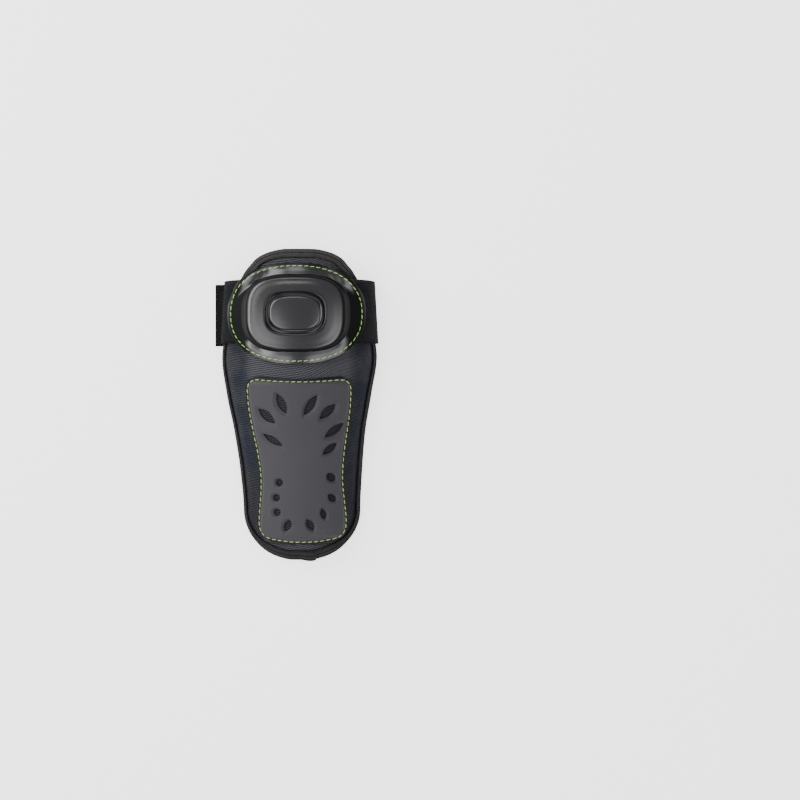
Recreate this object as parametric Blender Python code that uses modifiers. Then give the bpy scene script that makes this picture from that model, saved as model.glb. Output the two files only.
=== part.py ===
"""A padded knee and shin guard for field sports, lying face up on the back of its elastic strap.

Metres. +Z is the front of the guard, +Y runs up the leg and +X is to the right in the front view.
The origin is on the floor, under the middle of the guard's footprint.
"""

import math
from collections import namedtuple

import bmesh
import bpy
import numpy as np
from mathutils import Vector

# Padded body
PAD_LENGTH = 0.2584
PAD_WIDTH = 0.1240
ARCH_DEPTH = 0.0306
PAD_THICKNESS = 0.0080
PAD_EDGE_THICKNESS = 0.0034
EDGE_TAPER = 0.0150
BOTTOM_ROUND = 0.0390
TOP_ROUND = 0.0190
END_FLAT = 0.0006

# Lining inside the pad
LINING_THICKNESS = 0.0014
IMPRESSION_DEPTH = 0.0008
IMPRESSION_BLEND = 0.0060

# Tape folded round the edge
TAPE_THICKNESS = 0.0012
TAPE_FRONT_WIDTH = 0.0055
TAPE_BOTTOM_EXTRA = 0.0030
TAPE_TOP_EXTRA = 0.0036
TAPE_BACK_WIDTH = 0.0110
TAPE_BULGE = 0.0012
TAPE_SEAT = 0.0005
TAPE_CLEARANCE = 0.0008
LAP_CENTRE_X = 0.0110
LAP_LENGTH = 0.0200
LAP_BLEND = 0.0040

# Moulded cap over the knee
CAP_LENGTH = 0.1140
CAP_HEIGHT = 0.0847
CAP_OFFSET_X = -0.0014
CAP_FROM_TOP = 0.0522
CAP_CENTRE_Y = PAD_LENGTH / 2 - CAP_FROM_TOP
CAP_SHEET = 0.0022
CAP_STEP = 0.0032
CAP_CROWN = 0.0014
CAP_SIDE_RADIUS = 0.3600
CAP_RELIEF = 0.0010

# Moulded panel over the shin
PANEL_FROM_BOTTOM = 0.0131
PANEL_TO_CAP = 0.01165
PANEL_LENGTH = PAD_LENGTH - PANEL_FROM_BOTTOM - PANEL_TO_CAP - CAP_HEIGHT / 2 - CAP_FROM_TOP
PANEL_CENTRE_Y = PANEL_FROM_BOTTOM + (PANEL_LENGTH - PAD_LENGTH) / 2
PANEL_WIDTH = 0.0918
PANEL_OFFSET_X = 0.0016
PANEL_THICKNESS = 0.0024
PANEL_TOP_CORNER = 0.0095
PANEL_BOTTOM_CORNER = 0.0135
PANEL_TOP_DIP = 0.0022
PANEL_BOTTOM_BOW = 0.0023
PANEL_SEAT = 0.0006
LEAF_LENGTH = 0.0190
LEAF_WIDTH = 0.0070
LEAF_CUTTER_HEIGHT = 0.0600

# Elastic strap, its short anchor wing and the hook patch between them
STRAP_WIDTH = 0.0535
STRAP_FROM_TOP = 0.0498
STRAP_CENTRE_Y = PAD_LENGTH / 2 - STRAP_FROM_TOP
STRAP_THICKNESS = 0.0015
STRAP_ANCHOR_X = 0.0390
STRAP_LEAVE_X = 0.0545
STRAP_LEAVE_INSET = 0.0075
STRAP_LEAVE_LEAST = 0.0020
STRAP_LEAN = 0.0030
STRAP_TANGENT = 0.45
STRAP_FOLD_TANGENT = 0.45
STRAP_SEAT = 0.0010
STRAP_FOLD_HEIGHT = 0.0098
STRAP_FOLD_REACH = 0.0075
STRAP_TAB_REACH = 0.0738
STRAP_DROP = 0.0020
REST_DROP = 0.0003
WING_THICKNESS = 0.0015
WING_REACH = 0.0640
WING_CORNER = 0.0120
WING_END_SHARE = 0.80
HOOK_THICKNESS = 0.0008
HOOK_LENGTH = 0.0560
HOOK_MARGIN = 0.0045

# Space left between two pieces that lie on each other
GAP = 0.0004

# One row for each section up the pad. along is a share of PAD_LENGTH from the bottom. half_width, arch and
# shift, the middle line's place to the right, are shares of half of PAD_WIDTH. sagitta and dip are shares
# of ARCH_DEPTH.
Section = namedtuple("Section", "along half_width arch shift sagitta dip")
PAD_SECTIONS = (
    Section(0.000, 0.735, 0.735, 0.029, 0.700, 0.280),
    Section(0.050, 0.735, 0.735, 0.029, 0.700, 0.110),
    Section(0.100, 0.736, 0.736, 0.029, 0.700, 0.030),
    Section(0.150, 0.738, 0.738, 0.028, 0.700, 0.000),
    Section(0.280, 0.774, 0.774, 0.018, 0.730, 0.000),
    Section(0.413, 0.837, 0.837, 0.000, 0.800, 0.000),
    Section(0.544, 0.935, 0.935, -0.009, 0.900, 0.000),
    Section(0.660, 1.000, 1.000, -0.002, 1.000, 0.000),
    Section(0.705, 0.982, 1.000, 0.000, 1.000, 0.000),
    Section(0.760, 0.950, 1.000, 0.001, 1.000, 0.000),
    Section(0.820, 0.900, 1.000, 0.002, 1.000, 0.020),
    Section(0.880, 0.812, 1.000, 0.003, 1.000, 0.070),
    Section(0.925, 0.704, 1.000, 0.004, 1.000, 0.150),
    Section(0.960, 0.632, 1.000, 0.006, 1.000, 0.260),
    Section(1.000, 0.630, 1.000, 0.014, 1.000, 0.440),
)

# One row for each ring of the cap, from its edge to its middle. half_x and half_y are shares of half of
# CAP_LENGTH and CAP_HEIGHT, and square is the exponent of the ring's rounded outline. body is 0 where the
# ring lies on the pad and 1 where it lies on the raised plateau, and relief is a share of CAP_RELIEF.
Ring = namedtuple("Ring", "half_x half_y square body relief")
CAP_RINGS = (
    Ring(1.000, 1.000, 2.30, 0.00, 0.0),
    Ring(0.900, 0.885, 2.35, 0.00, 0.0),
    Ring(0.790, 0.775, 2.70, 0.06, 0.0),
    Ring(0.735, 0.725, 3.00, 0.45, 0.0),
    Ring(0.695, 0.690, 3.20, 0.93, 0.0),
    Ring(0.655, 0.645, 3.30, 1.00, 0.0),
    Ring(0.550, 0.550, 3.20, 1.00, 0.2),
    Ring(0.455, 0.450, 3.00, 1.00, 0.2),
    Ring(0.425, 0.415, 3.00, 1.00, -0.7),
    Ring(0.400, 0.375, 3.00, 1.00, 0.9),
    Ring(0.372, 0.335, 3.00, 1.00, -0.2),
    Ring(0.345, 0.300, 3.00, 1.00, 0.4),
    Ring(0.180, 0.155, 2.60, 1.00, 0.6),
    Ring(0.000, 0.000, 2.00, 1.00, 0.6),
)

# One row for each section up the shin panel. along is a share of PANEL_LENGTH from the bottom and
# half_width a share of half of PANEL_WIDTH.
PanelSection = namedtuple("PanelSection", "along half_width")
PANEL_SECTIONS = (
    PanelSection(0.00, 0.835),
    PanelSection(0.13, 0.840),
    PanelSection(0.24, 0.812),
    PanelSection(0.38, 0.785),
    PanelSection(0.52, 0.822),
    PanelSection(0.68, 0.905),
    PanelSection(0.84, 0.975),
    PanelSection(1.00, 1.000),
)

# One row for each opening in the panel. across and along are shares of half of PANEL_WIDTH and of
# PANEL_LENGTH, length and width are shares of LEAF_LENGTH and LEAF_WIDTH, angle is in degrees from +X, and
# point is 1 for a leaf with sharp tips and 0 for an oval.
Leaf = namedtuple("Leaf", "across along length width angle point")
PANEL_LEAVES = (
    Leaf(-0.316, 0.842, 0.97, 1.03, 115, 0.9),
    Leaf(-0.601, 0.767, 1.00, 1.06, 139, 0.9),
    Leaf(-0.501, 0.620, 1.00, 0.81, 149, 0.9),
    Leaf(0.214, 0.832, 1.03, 0.94, 57, 0.9),
    Leaf(0.521, 0.794, 0.94, 1.03, 44, 0.9),
    Leaf(0.632, 0.680, 1.03, 0.96, 38, 0.9),
    Leaf(0.538, 0.566, 0.79, 0.86, 41, 0.9),
    Leaf(-0.410, 0.360, 0.32, 0.86, 0, 0.0),
    Leaf(-0.471, 0.267, 0.32, 0.86, 0, 0.0),
    Leaf(-0.462, 0.177, 0.32, 0.86, 0, 0.0),
    Leaf(-0.270, 0.096, 0.55, 0.89, 65, 0.5),
    Leaf(0.153, 0.100, 0.56, 0.83, 118, 0.5),
    Leaf(0.392, 0.168, 0.49, 0.71, 105, 0.5),
    Leaf(0.549, 0.265, 0.43, 0.86, 133, 0.3),
    Leaf(0.540, 0.391, 0.45, 0.99, 134, 0.3),
)

# How gradually pieces climb over the tape and over the strap's ends
TAPE_LEAD = 0.0030
PANEL_LEAD = 0.0045
CAP_LEAD = 0.0120
CAP_LEAD_ACROSS = 0.7 * CAP_LEAD
CAP_LEAD_START = 1.3 * CAP_LEAD

# Where the tape's front lip widens towards the bottom and the top, as shares of PAD_LENGTH from the middle
BOTTOM_TAPE_START, BOTTOM_TAPE_END = 0.44, 0.49
TOP_TAPE_START, TOP_TAPE_END = 0.41, 0.46
LAP_FROM_MIDDLE = 0.40

# How much closer the rim's points are where it bends, how far the rows draw together at both ends, the
# steepest part of the arch that is used, and the steps that slopes are measured over
RIM_BEND_WEIGHT = 0.0200
END_BEND = 0.93 * math.pi / 2
STEEPEST = 0.97
NORMAL_STEP = 0.0005
SLOPE_STEP = 0.0010

# Mesh fineness
PAD_COLUMNS, PAD_ROWS = 14, 38
LINING_COLUMNS, LINING_ROWS = 10, 22
RIM_SAMPLES = 240
TAPE_STEPS = 88
TAPE_LIP_STEPS, TAPE_TURN_STEPS = 2, 4
CAP_SEGMENTS = 44
PANEL_COLUMNS, PANEL_ROWS = 12, 18
LEAF_SIDES = 12
STRAP_ROWS = 6
STRAP_STEPS = {"pad": 4, "span": 6, "fold": 6, "back": 12}
SEAT_PASSES = 6


def clear_scene():
    for thing in list(bpy.data.objects):
        bpy.data.objects.remove(thing)


def collection(name, hidden=False):
    made = bpy.data.collections.new(name)
    made.hide_render = hidden
    bpy.context.scene.collection.children.link(made)
    return made


def material(name, colour, roughness, metallic=0.0):
    made = bpy.data.materials.new(name)
    made.use_nodes = True
    shader = made.node_tree.nodes["Principled BSDF"]
    shader.inputs["Base Color"].default_value = (*colour, 1.0)
    shader.inputs["Roughness"].default_value = roughness
    shader.inputs["Metallic"].default_value = metallic
    return made


def smoothstep(value):
    value = min(max(value, 0.0), 1.0)
    return value * value * (3 - 2 * value)


def table_curve(rows, column):
    """A smooth curve with no overshoot through one column of a table, as a function of along."""
    stations = [row.along for row in rows]
    values = [getattr(row, column) for row in rows]
    steps = [b - a for a, b in zip(stations, stations[1:])]
    rises = [(b - a) / step for a, b, step in zip(values, values[1:], steps)]
    slopes = [rises[0]]
    for before, after in zip(rises, rises[1:]):
        slopes.append(0.0 if before * after <= 0 else 2 * before * after / (before + after))
    slopes.append(rises[-1])

    def curve(along):
        if along < stations[0]:
            return values[0] + slopes[0] * (along - stations[0])
        if along > stations[-1]:
            return values[-1] + slopes[-1] * (along - stations[-1])
        index = min(int(np.searchsorted(stations, along, side="right")) - 1, len(steps) - 1)
        step = steps[index]
        t = (along - stations[index]) / step
        start = (1 + 2 * t) * (1 - t) ** 2 * values[index] + t * (1 - t) ** 2 * step * slopes[index]
        end = t * t * (3 - 2 * t) * values[index + 1] + t * t * (t - 1) * step * slopes[index + 1]
        return start + end

    return curve


# The pad's inner face, which every other piece is placed from

share_half_width = table_curve(PAD_SECTIONS, "half_width")
share_arch = table_curve(PAD_SECTIONS, "arch")
share_sagitta = table_curve(PAD_SECTIONS, "sagitta")
share_dip = table_curve(PAD_SECTIONS, "dip")
share_shift = table_curve(PAD_SECTIONS, "shift")

# The strap, the hook patch and the wing lie on each other under the pad's rim.
STRAP_STACK = STRAP_THICKNESS + HOOK_THICKNESS + WING_THICKNESS + 5 * GAP
RISE_START, RISE_END = 0.20, 0.66


def along_pad(y):
    return y / PAD_LENGTH + 0.5


def end_rounding(distance, length, square):
    """The share of the width that is left at this distance from a rounded end."""
    reach = min(max(1 - (distance + END_FLAT) / length, 0.0), 1.0)
    return (1 - reach**square) ** (1 / square)


def middle(y):
    """The pad's middle line, which bends a little to the right towards its lower end."""
    return share_shift(along_pad(y)) * PAD_WIDTH / 2


def edge_half_width(y):
    """Half of the width of the pad's inner face at y."""
    from_bottom, from_top = y + PAD_LENGTH / 2, PAD_LENGTH / 2 - y
    width = share_half_width(along_pad(y)) * PAD_WIDTH / 2
    width *= end_rounding(from_bottom, BOTTOM_ROUND, 2.05)
    return width * end_rounding(from_top, TOP_ROUND, 2.3)


def base_height(x, y):
    """The height of the pad's inner face: an arc across the leg, with a crest that dips at both ends."""
    along = along_pad(y)
    half_chord = share_arch(along) * PAD_WIDTH / 2
    sagitta = share_sagitta(along) * ARCH_DEPTH
    radius = (half_chord**2 + sagitta**2) / (2 * sagitta)
    rise = STRAP_STACK * smoothstep((along - RISE_START) / (RISE_END - RISE_START))
    crest = rise + sagitta - share_dip(along) * ARCH_DEPTH
    inside = min(abs(x - middle(y)), STEEPEST * radius)
    return crest - radius + math.sqrt(radius**2 - inside**2)


def base_normal(x, y):
    step = NORMAL_STEP
    slope_x = (base_height(x + step, y) - base_height(x - step, y)) / (2 * step)
    slope_y = (base_height(x, y + step) - base_height(x, y - step)) / (2 * step)
    return Vector((-slope_x, -slope_y, 1.0)).normalized()


def over_base(x, y, above):
    """The point at this distance in front of the pad's inner face, along its normal."""
    return Vector((x, y, base_height(x, y))) + base_normal(x, y) * above


def end_spread(share):
    """Turns -1..1 into -1..1 with closer rows at both ends."""
    return math.sin(share * END_BEND) / math.sin(END_BEND)


def rim_plan():
    """The pad's closed outline in plan, with points closer where it bends, and its inward directions."""
    right = []
    for step in range(RIM_SAMPLES + 1):
        y = end_spread(2 * step / RIM_SAMPLES - 1) * PAD_LENGTH / 2
        right.append((edge_half_width(y), y))
    loop = [(middle(y) + half, y) for half, y in right]
    loop = np.array(loop + [(middle(y) - half, y) for half, y in reversed(right)])
    closed = np.vstack([loop, loop[:1]])
    sides = np.diff(closed, axis=0)
    heading = np.unwrap(np.arctan2(sides[:, 1], sides[:, 0]))
    bends = np.abs(np.diff(heading, append=heading[0] + 2 * math.pi))
    measure = np.linalg.norm(sides, axis=1) + RIM_BEND_WEIGHT * bends
    lengths = np.concatenate([[0.0], np.cumsum(measure)])
    even = np.linspace(0.0, lengths[-1], RIM_SAMPLES, endpoint=False)
    points = np.column_stack([np.interp(even, lengths, closed[:, axis]) for axis in (0, 1)])
    along = np.roll(points, -3, axis=0) - np.roll(points, 3, axis=0)
    inward = np.column_stack([-along[:, 1], along[:, 0]])
    inward /= np.linalg.norm(inward, axis=1)[:, None]
    return points, inward


RIM_POINTS, RIM_INWARD = rim_plan()
RIM_IN_SPACE = np.array([(x, y, base_height(x, y)) for x, y in RIM_POINTS])


def nearest_rim(x, y):
    """How far a point of the pad's inner face is from the pad's edge, 0 beyond it, and the edge's y there."""
    here = np.array((x, y, base_height(x, y)))
    distances = np.linalg.norm(RIM_IN_SPACE - here, axis=1)
    nearest = int(distances.argmin())
    beyond = abs(y) > PAD_LENGTH / 2 or abs(x - middle(y)) > edge_half_width(y)
    return 0.0 if beyond else float(distances[nearest]), RIM_POINTS[nearest][1]


def rim_distance(x, y):
    return nearest_rim(x, y)[0]


def taper(distance):
    """The pad's thickness at this distance from its edge."""
    share = math.sin(math.pi / 2 * min(max(distance / EDGE_TAPER, 0.0), 1.0))
    return PAD_EDGE_THICKNESS + (PAD_THICKNESS - PAD_EDGE_THICKNESS) * share


def top_tape(y):
    """1 where the tape's front lip is wider over the top edge, and 0 beside the leg."""
    return smoothstep((y / PAD_LENGTH - TOP_TAPE_START) / (TOP_TAPE_END - TOP_TAPE_START))


def over_tape(x, y, lead=TAPE_LEAD):
    """How much higher a piece lies where the edge tape is under it."""
    distance, rim_y = nearest_rim(x, y)
    width = TAPE_FRONT_WIDTH + TAPE_TOP_EXTRA * top_tape(rim_y)
    return (TAPE_THICKNESS + TAPE_SEAT) * smoothstep((width + lead - distance) / lead)


def on_pad(x, y, above):
    """The point over plan position x, y that lies at this distance in front of the pad's outer face."""
    foot_x, foot_y = x, y
    for _ in range(SEAT_PASSES):
        point = over_base(foot_x, foot_y, taper(rim_distance(foot_x, foot_y)) + above)
        foot_x += x - point.x
        foot_y += y - point.y
    return point


def mapped_grid(name, columns, rows, place, group, finish, merge=False):
    """An open surface: a grid whose vertices go where place says, for u and v from -1 to 1."""
    shape = bmesh.new()
    bmesh.ops.create_grid(shape, x_segments=columns, y_segments=rows, size=1.0)
    for vertex in shape.verts:
        vertex.co = place(vertex.co.x, vertex.co.y)
    if merge:
        bmesh.ops.remove_doubles(shape, verts=shape.verts, dist=0.00001)
    mesh = bpy.data.meshes.new(name)
    shape.to_mesh(mesh)
    shape.free()
    mesh.shade_smooth()
    made = bpy.data.objects.new(name, mesh)
    made.data.materials.append(finish)
    group.objects.link(made)
    return made


def thicken(piece, thickness, side, weights=None):
    """Gives an open surface its thickness: side 1 in front of it, -1 behind it and 0 both ways."""
    wall = piece.modifiers.new("wall", "SOLIDIFY")
    wall.thickness = thickness
    wall.offset = side
    if weights is not None:
        named = piece.vertex_groups.new(name="thickness")
        for vertex in piece.data.vertices:
            named.add([vertex.index], weights(vertex.co), "REPLACE")
        wall.vertex_group = named.name
    return wall


# Padded body: woven mesh over foam, thinner where the tape holds its edge


def pad_surface(above):
    def place(u, v):
        y = end_spread(v) * PAD_LENGTH / 2
        return over_base(middle(y) + end_spread(u) * edge_half_width(y), y, above)

    return place


def build_pad(group):
    finish = material("woven_mesh_over_foam", (0.045, 0.047, 0.062), 0.85)
    pad = mapped_grid("mesh_pad", PAD_COLUMNS, PAD_ROWS, pad_surface(0.0), group, finish)
    thicken(pad, PAD_THICKNESS, 1, lambda co: taper(rim_distance(co.x, co.y)) / PAD_THICKNESS)
    return pad


# Lining: brushed cloth against the pad's inner face, pressed out where the shin panel is


def panel_outline_distance(x, y):
    """How far x, y is inside the shin panel's outline, in plan, and below 0 outside it."""
    from_bottom = y - PANEL_CENTRE_Y + PANEL_LENGTH / 2
    beside = panel_half_width(from_bottom / PANEL_LENGTH) - abs(x - PANEL_OFFSET_X - middle(y))
    return min(beside, from_bottom, PANEL_LENGTH - from_bottom)


def build_lining(group):
    finish = material("brushed_lining", (0.010, 0.010, 0.010), 0.95)
    lining = mapped_grid(
        "inner_lining", LINING_COLUMNS, LINING_ROWS, pad_surface(-GAP), group, finish
    )
    full = LINING_THICKNESS + IMPRESSION_DEPTH

    def share(co):
        pressed = smoothstep(0.5 + panel_outline_distance(co.x, co.y) / IMPRESSION_BLEND)
        clear_of_tape = rim_distance(co.x, co.y) - TAPE_BACK_WIDTH - GAP
        pressed *= smoothstep(clear_of_tape / IMPRESSION_BLEND)
        return (LINING_THICKNESS + IMPRESSION_DEPTH * pressed) / full

    thicken(lining, full, -1, share)
    return lining


# Edge tape: one strip folded round the rim, with its two ends lapped at the bottom


def rim_frame(share):
    """A point of the rim in plan, by its share of the way round, and the direction into the pad."""
    index = share * RIM_SAMPLES
    first, part = int(math.floor(index)) % RIM_SAMPLES, index - math.floor(index)
    second = (first + 1) % RIM_SAMPLES
    point = RIM_POINTS[first] * (1 - part) + RIM_POINTS[second] * part
    inward = RIM_INWARD[first] * (1 - part) + RIM_INWARD[second] * part
    return Vector(point), Vector(inward).normalized()


def at_rim(share, depth, above):
    """The point at this depth along the surface from the rim and this distance in front of it."""
    rim, inward = rim_frame(share)
    ahead = rim + inward * SLOPE_STEP
    slope = (base_height(ahead.x, ahead.y) - base_height(rim.x, rim.y)) / SLOPE_STEP
    plan = rim + inward * (depth / math.sqrt(1 + slope**2))
    return over_base(plan.x, plan.y, above)


def tape_section(front_width, outward=0.0):
    """The folded tape as (depth, above) pairs, from its back lip to its front lip.

    It is the tape's inner face, or a face at this distance outward of it.
    """
    behind = -(LINING_THICKNESS + GAP + TAPE_CLEARANCE + outward)
    before = PAD_EDGE_THICKNESS + TAPE_SEAT + outward
    centre, reach = (before + behind) / 2, GAP + TAPE_BULGE + outward
    section = []
    for step in range(TAPE_LIP_STEPS):
        section.append((TAPE_BACK_WIDTH * (1 - step / TAPE_LIP_STEPS), behind))
    for step in range(TAPE_TURN_STEPS + 1):
        turn = math.pi * step / TAPE_TURN_STEPS
        depth = -TAPE_CLEARANCE - (reach - TAPE_CLEARANCE) * math.sin(turn)
        section.append((depth, centre - (before - centre) * math.cos(turn)))
    for step in range(1, TAPE_LIP_STEPS + 1):
        depth = front_width * step / TAPE_LIP_STEPS
        section.append((depth, taper(depth) + TAPE_SEAT + outward))
    return section


def build_edge_tape(group):
    finish = material("edge_tape_cloth", (0.030, 0.030, 0.029), 0.80)
    rows = 2 * TAPE_LIP_STEPS + TAPE_TURN_STEPS

    def place(u, v):
        share = (u + 1) / 2
        rim_y = rim_frame(share)[0].y
        low = (-rim_y / PAD_LENGTH - BOTTOM_TAPE_START) / (BOTTOM_TAPE_END - BOTTOM_TAPE_START)
        extra = TAPE_BOTTOM_EXTRA * smoothstep(low) + TAPE_TOP_EXTRA * top_tape(rim_y)
        section = tape_section(TAPE_FRONT_WIDTH + extra)
        depth, above = section[round((1 - v) / 2 * rows)]
        return at_rim(share, depth, above)

    def layers(co):
        """1 for one layer of tape and 2 where its two ends lap each other."""
        beside = abs(co.x - LAP_CENTRE_X) - LAP_LENGTH / 2
        return 1 + smoothstep(-beside / LAP_BLEND) * (co.y < -LAP_FROM_MIDDLE * PAD_LENGTH)

    tape = mapped_grid(
        "edge_binding", TAPE_STEPS, rows, place, group, finish, merge=True
    )
    thicken(tape, 2 * TAPE_THICKNESS, -1, lambda co: layers(co) / 2)
    return tape


def floor_height():
    """The floor's height, which the strap's back lies on, just below the tape beside the shin."""
    outer = tape_section(TAPE_FRONT_WIDTH, TAPE_THICKNESS)
    heights = []
    for step in range(TAPE_STEPS):
        heights += [at_rim(step / TAPE_STEPS, depth, above).z for depth, above in outer]
    return min(heights) - REST_DROP


# Knee cap: a glossy moulded shell with a raised plateau and a ringed button

share_panel_width = table_curve(PANEL_SECTIONS, "half_width")


def panel_half_width(along):
    return share_panel_width(along) * PANEL_WIDTH / 2


def oval(half_x, half_y, square, angle):
    """A point of a rounded outline between an ellipse and a rectangle."""
    across, up = math.cos(angle), math.sin(angle)
    return (
        half_x * math.copysign(abs(across) ** (2 / square), across),
        half_y * math.copysign(abs(up) ** (2 / square), up),
    )


def cap_seat(x, y):
    """The height of the cap's underside on the pad, lifted at both sides by the strap's ends."""
    low = on_pad(x, y, GAP + over_tape(x, y)).z
    side = math.copysign(1.0, x)
    off_strap = abs(y - STRAP_CENTRE_Y) - STRAP_WIDTH / 2
    share = smoothstep((abs(x) - STRAP_ANCHOR_X + CAP_LEAD) / CAP_LEAD_ACROSS)
    share *= smoothstep((CAP_LEAD_START - off_strap) / CAP_LEAD)
    if share == 0:
        return low
    nearest = STRAP_CENTRE_Y + min(max(y - STRAP_CENTRE_Y, -STRAP_WIDTH / 2), STRAP_WIDTH / 2)
    route = strap_route(nearest, side, STRAP_THICKNESS, floor, 0.0)
    reaches, heights = zip(*route[: STRAP_STEPS["pad"] + STRAP_STEPS["span"] + 1])
    step = SLOPE_STEP
    before, here, after = np.interp([abs(x) - step, abs(x), abs(x) + step], reaches, heights)
    steepness = math.hypot(1.0, (after - before) / (2 * step))
    top = max(before, here, after) + (STRAP_THICKNESS / 2 + STRAP_SEAT) * steepness
    return low + max(top - low, 0.0) * share


def plateau_height(x, y):
    """The underside of the plateau: a line between its lower and upper edge, with a slight crown."""
    reach = CAP_RINGS[4].half_y * CAP_HEIGHT / 2
    share = (y - CAP_CENTRE_Y) / reach
    lower = on_pad(0.0, CAP_CENTRE_Y - reach, GAP).z
    upper = on_pad(0.0, CAP_CENTRE_Y + reach, GAP).z
    line = lower + (upper - lower) * (share + 1) / 2
    fall = (x - middle(CAP_CENTRE_Y) - CAP_OFFSET_X) ** 2 / (2 * CAP_SIDE_RADIUS)
    return line + CAP_STEP + CAP_CROWN * (1 - share**2) - fall


def cap_surface(u, v):
    place = (1 - v) / 2 * (len(CAP_RINGS) - 1)
    ring = CAP_RINGS[round(place)]
    x, y = oval(ring.half_x * CAP_LENGTH / 2, ring.half_y * CAP_HEIGHT / 2, ring.square, -math.pi * u)
    x += middle(CAP_CENTRE_Y) + CAP_OFFSET_X
    y += CAP_CENTRE_Y
    low = cap_seat(x, y)
    high = max(plateau_height(x, y), low)
    return Vector((x, y, low + (high - low) * ring.body + CAP_RELIEF * ring.relief))


def build_cap(group):
    finish = material("gloss_moulded_shell", (0.028, 0.028, 0.031), 0.22)
    cap = mapped_grid(
        "knee_cap", CAP_SEGMENTS, len(CAP_RINGS) - 1, cap_surface, group, finish, merge=True
    )
    thicken(cap, CAP_SHEET, 1)
    return cap


# Shin panel: a matt moulded sheet with leaf and oval openings


def panel_surface(u, v):
    length = PANEL_LENGTH
    from_bottom = (1 + end_spread(v)) / 2 * length
    share = from_bottom / length
    to_end = min(from_bottom, length - from_bottom)
    corner = PANEL_BOTTOM_CORNER if share < 0.5 else PANEL_TOP_CORNER
    missing = max(corner - to_end, 0.0)
    half = panel_half_width(share) - corner + math.sqrt(corner**2 - missing**2)
    bow = (1 - u * u) * (PANEL_TOP_DIP * share**2 + PANEL_BOTTOM_BOW * (1 - share) ** 2)
    y = PANEL_CENTRE_Y - length / 2 + from_bottom - bow
    x = middle(y) + PANEL_OFFSET_X + u * half
    return on_pad(x, y, PANEL_SEAT + over_tape(x, y, PANEL_LEAD))


def add_leaf_cutter(shape, leaf):
    """One upright prism of a leaf's outline, tall enough to pass through the panel."""
    made = bmesh.ops.create_cone(
        shape, cap_ends=True, segments=LEAF_SIDES, radius1=1.0, radius2=1.0, depth=LEAF_CUTTER_HEIGHT
    )
    turn = math.radians(leaf.angle)
    centre_y = PANEL_CENTRE_Y + (leaf.along - 0.5) * PANEL_LENGTH
    centre_x = middle(centre_y) + PANEL_OFFSET_X + leaf.across * PANEL_WIDTH / 2
    centre_z = base_height(centre_x, centre_y)
    for vertex in made["verts"]:
        x = vertex.co.x * leaf.length * LEAF_LENGTH / 2
        y = vertex.co.y * abs(vertex.co.y) ** leaf.point * leaf.width * LEAF_WIDTH / 2
        vertex.co.x = centre_x + x * math.cos(turn) - y * math.sin(turn)
        vertex.co.y = centre_y + x * math.sin(turn) + y * math.cos(turn)
        vertex.co.z += centre_z


def build_panel(group, cutters):
    finish = material("matt_moulded_panel", (0.085, 0.083, 0.092), 0.50)
    panel = mapped_grid("shin_panel", PANEL_COLUMNS, PANEL_ROWS, panel_surface, group, finish)
    thicken(panel, PANEL_THICKNESS, 1)

    shape = bmesh.new()
    for leaf in PANEL_LEAVES:
        add_leaf_cutter(shape, leaf)
    mesh = bpy.data.meshes.new("leaf_cutter")
    shape.to_mesh(mesh)
    shape.free()
    cutter = bpy.data.objects.new("leaf_cutter", mesh)
    cutter.hide_render = True
    cutter.display_type = "WIRE"
    cutters.objects.link(cutter)

    openings = panel.modifiers.new("openings", "BOOLEAN")
    openings.operation = "DIFFERENCE"
    openings.object = cutter
    return panel


# Strap: wide elastic from under the cap, round the rim and flat across the back of the leg


def tape_side(y, side):
    """How far out the edge tape reaches at y, to the right for side 1 and to the left for side -1."""
    rim_x = middle(y) + side * (edge_half_width(y) + TAPE_CLEARANCE)
    return side * over_base(rim_x, y, PAD_EDGE_THICKNESS + TAPE_SEAT + TAPE_THICKNESS).x


def strap_route(y, side, thickness, back_height, end_x):
    """The strap's middle line for one thread at y, as (distance to this side, height) pairs."""
    half = thickness / 2
    lower_edge = STRAP_CENTRE_Y - STRAP_WIDTH / 2
    lean = STRAP_LEAN * (y - lower_edge) / STRAP_WIDTH
    fold_x = max(tape_side(lower_edge, side) - lean, tape_side(y, side)) + 2 * GAP + half
    fold_z = floor + STRAP_FOLD_HEIGHT
    rim_x = side * middle(y) + edge_half_width(y)
    leave_x = min(STRAP_LEAVE_X, rim_x - STRAP_LEAVE_INSET)
    leave_x = max(leave_x, STRAP_ANCHOR_X + STRAP_LEAVE_LEAST)

    route = []
    for step in range(STRAP_STEPS["pad"] + 1):
        x = STRAP_ANCHOR_X + (leave_x - STRAP_ANCHOR_X) * step / STRAP_STEPS["pad"]
        route.append((x, on_pad(side * x, y, GAP + half + over_tape(side * x, y)).z))

    (before_x, before_z), (x, z) = route[-2:]
    slope = (z - before_z) / (x - before_x)
    reach = (fold_x - x) * STRAP_TANGENT
    above_fold = fold_z + (z - fold_z) * STRAP_FOLD_TANGENT
    handles = ((x, z), (x + reach, z + reach * slope), (fold_x, above_fold), (fold_x, fold_z))
    for step in range(1, STRAP_STEPS["span"] + 1):
        t = step / STRAP_STEPS["span"]
        weights = ((1 - t) ** 3, 3 * t * (1 - t) ** 2, 3 * t * t * (1 - t), t**3)
        route.append(tuple(sum(w * h[axis] for w, h in zip(weights, handles)) for axis in (0, 1)))

    back_z = back_height + half
    for step in range(1, STRAP_STEPS["fold"] + 1):
        turn = math.pi / 2 * step / STRAP_STEPS["fold"]
        x = fold_x - STRAP_FOLD_REACH * (1 - math.cos(turn))
        route.append((x, fold_z - (fold_z - back_z) * math.sin(turn)))

    start_x = fold_x - STRAP_FOLD_REACH
    for step in range(1, STRAP_STEPS["back"] + 1):
        route.append((start_x + (end_x - start_x) * step / STRAP_STEPS["back"], back_z))
    return route


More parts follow.
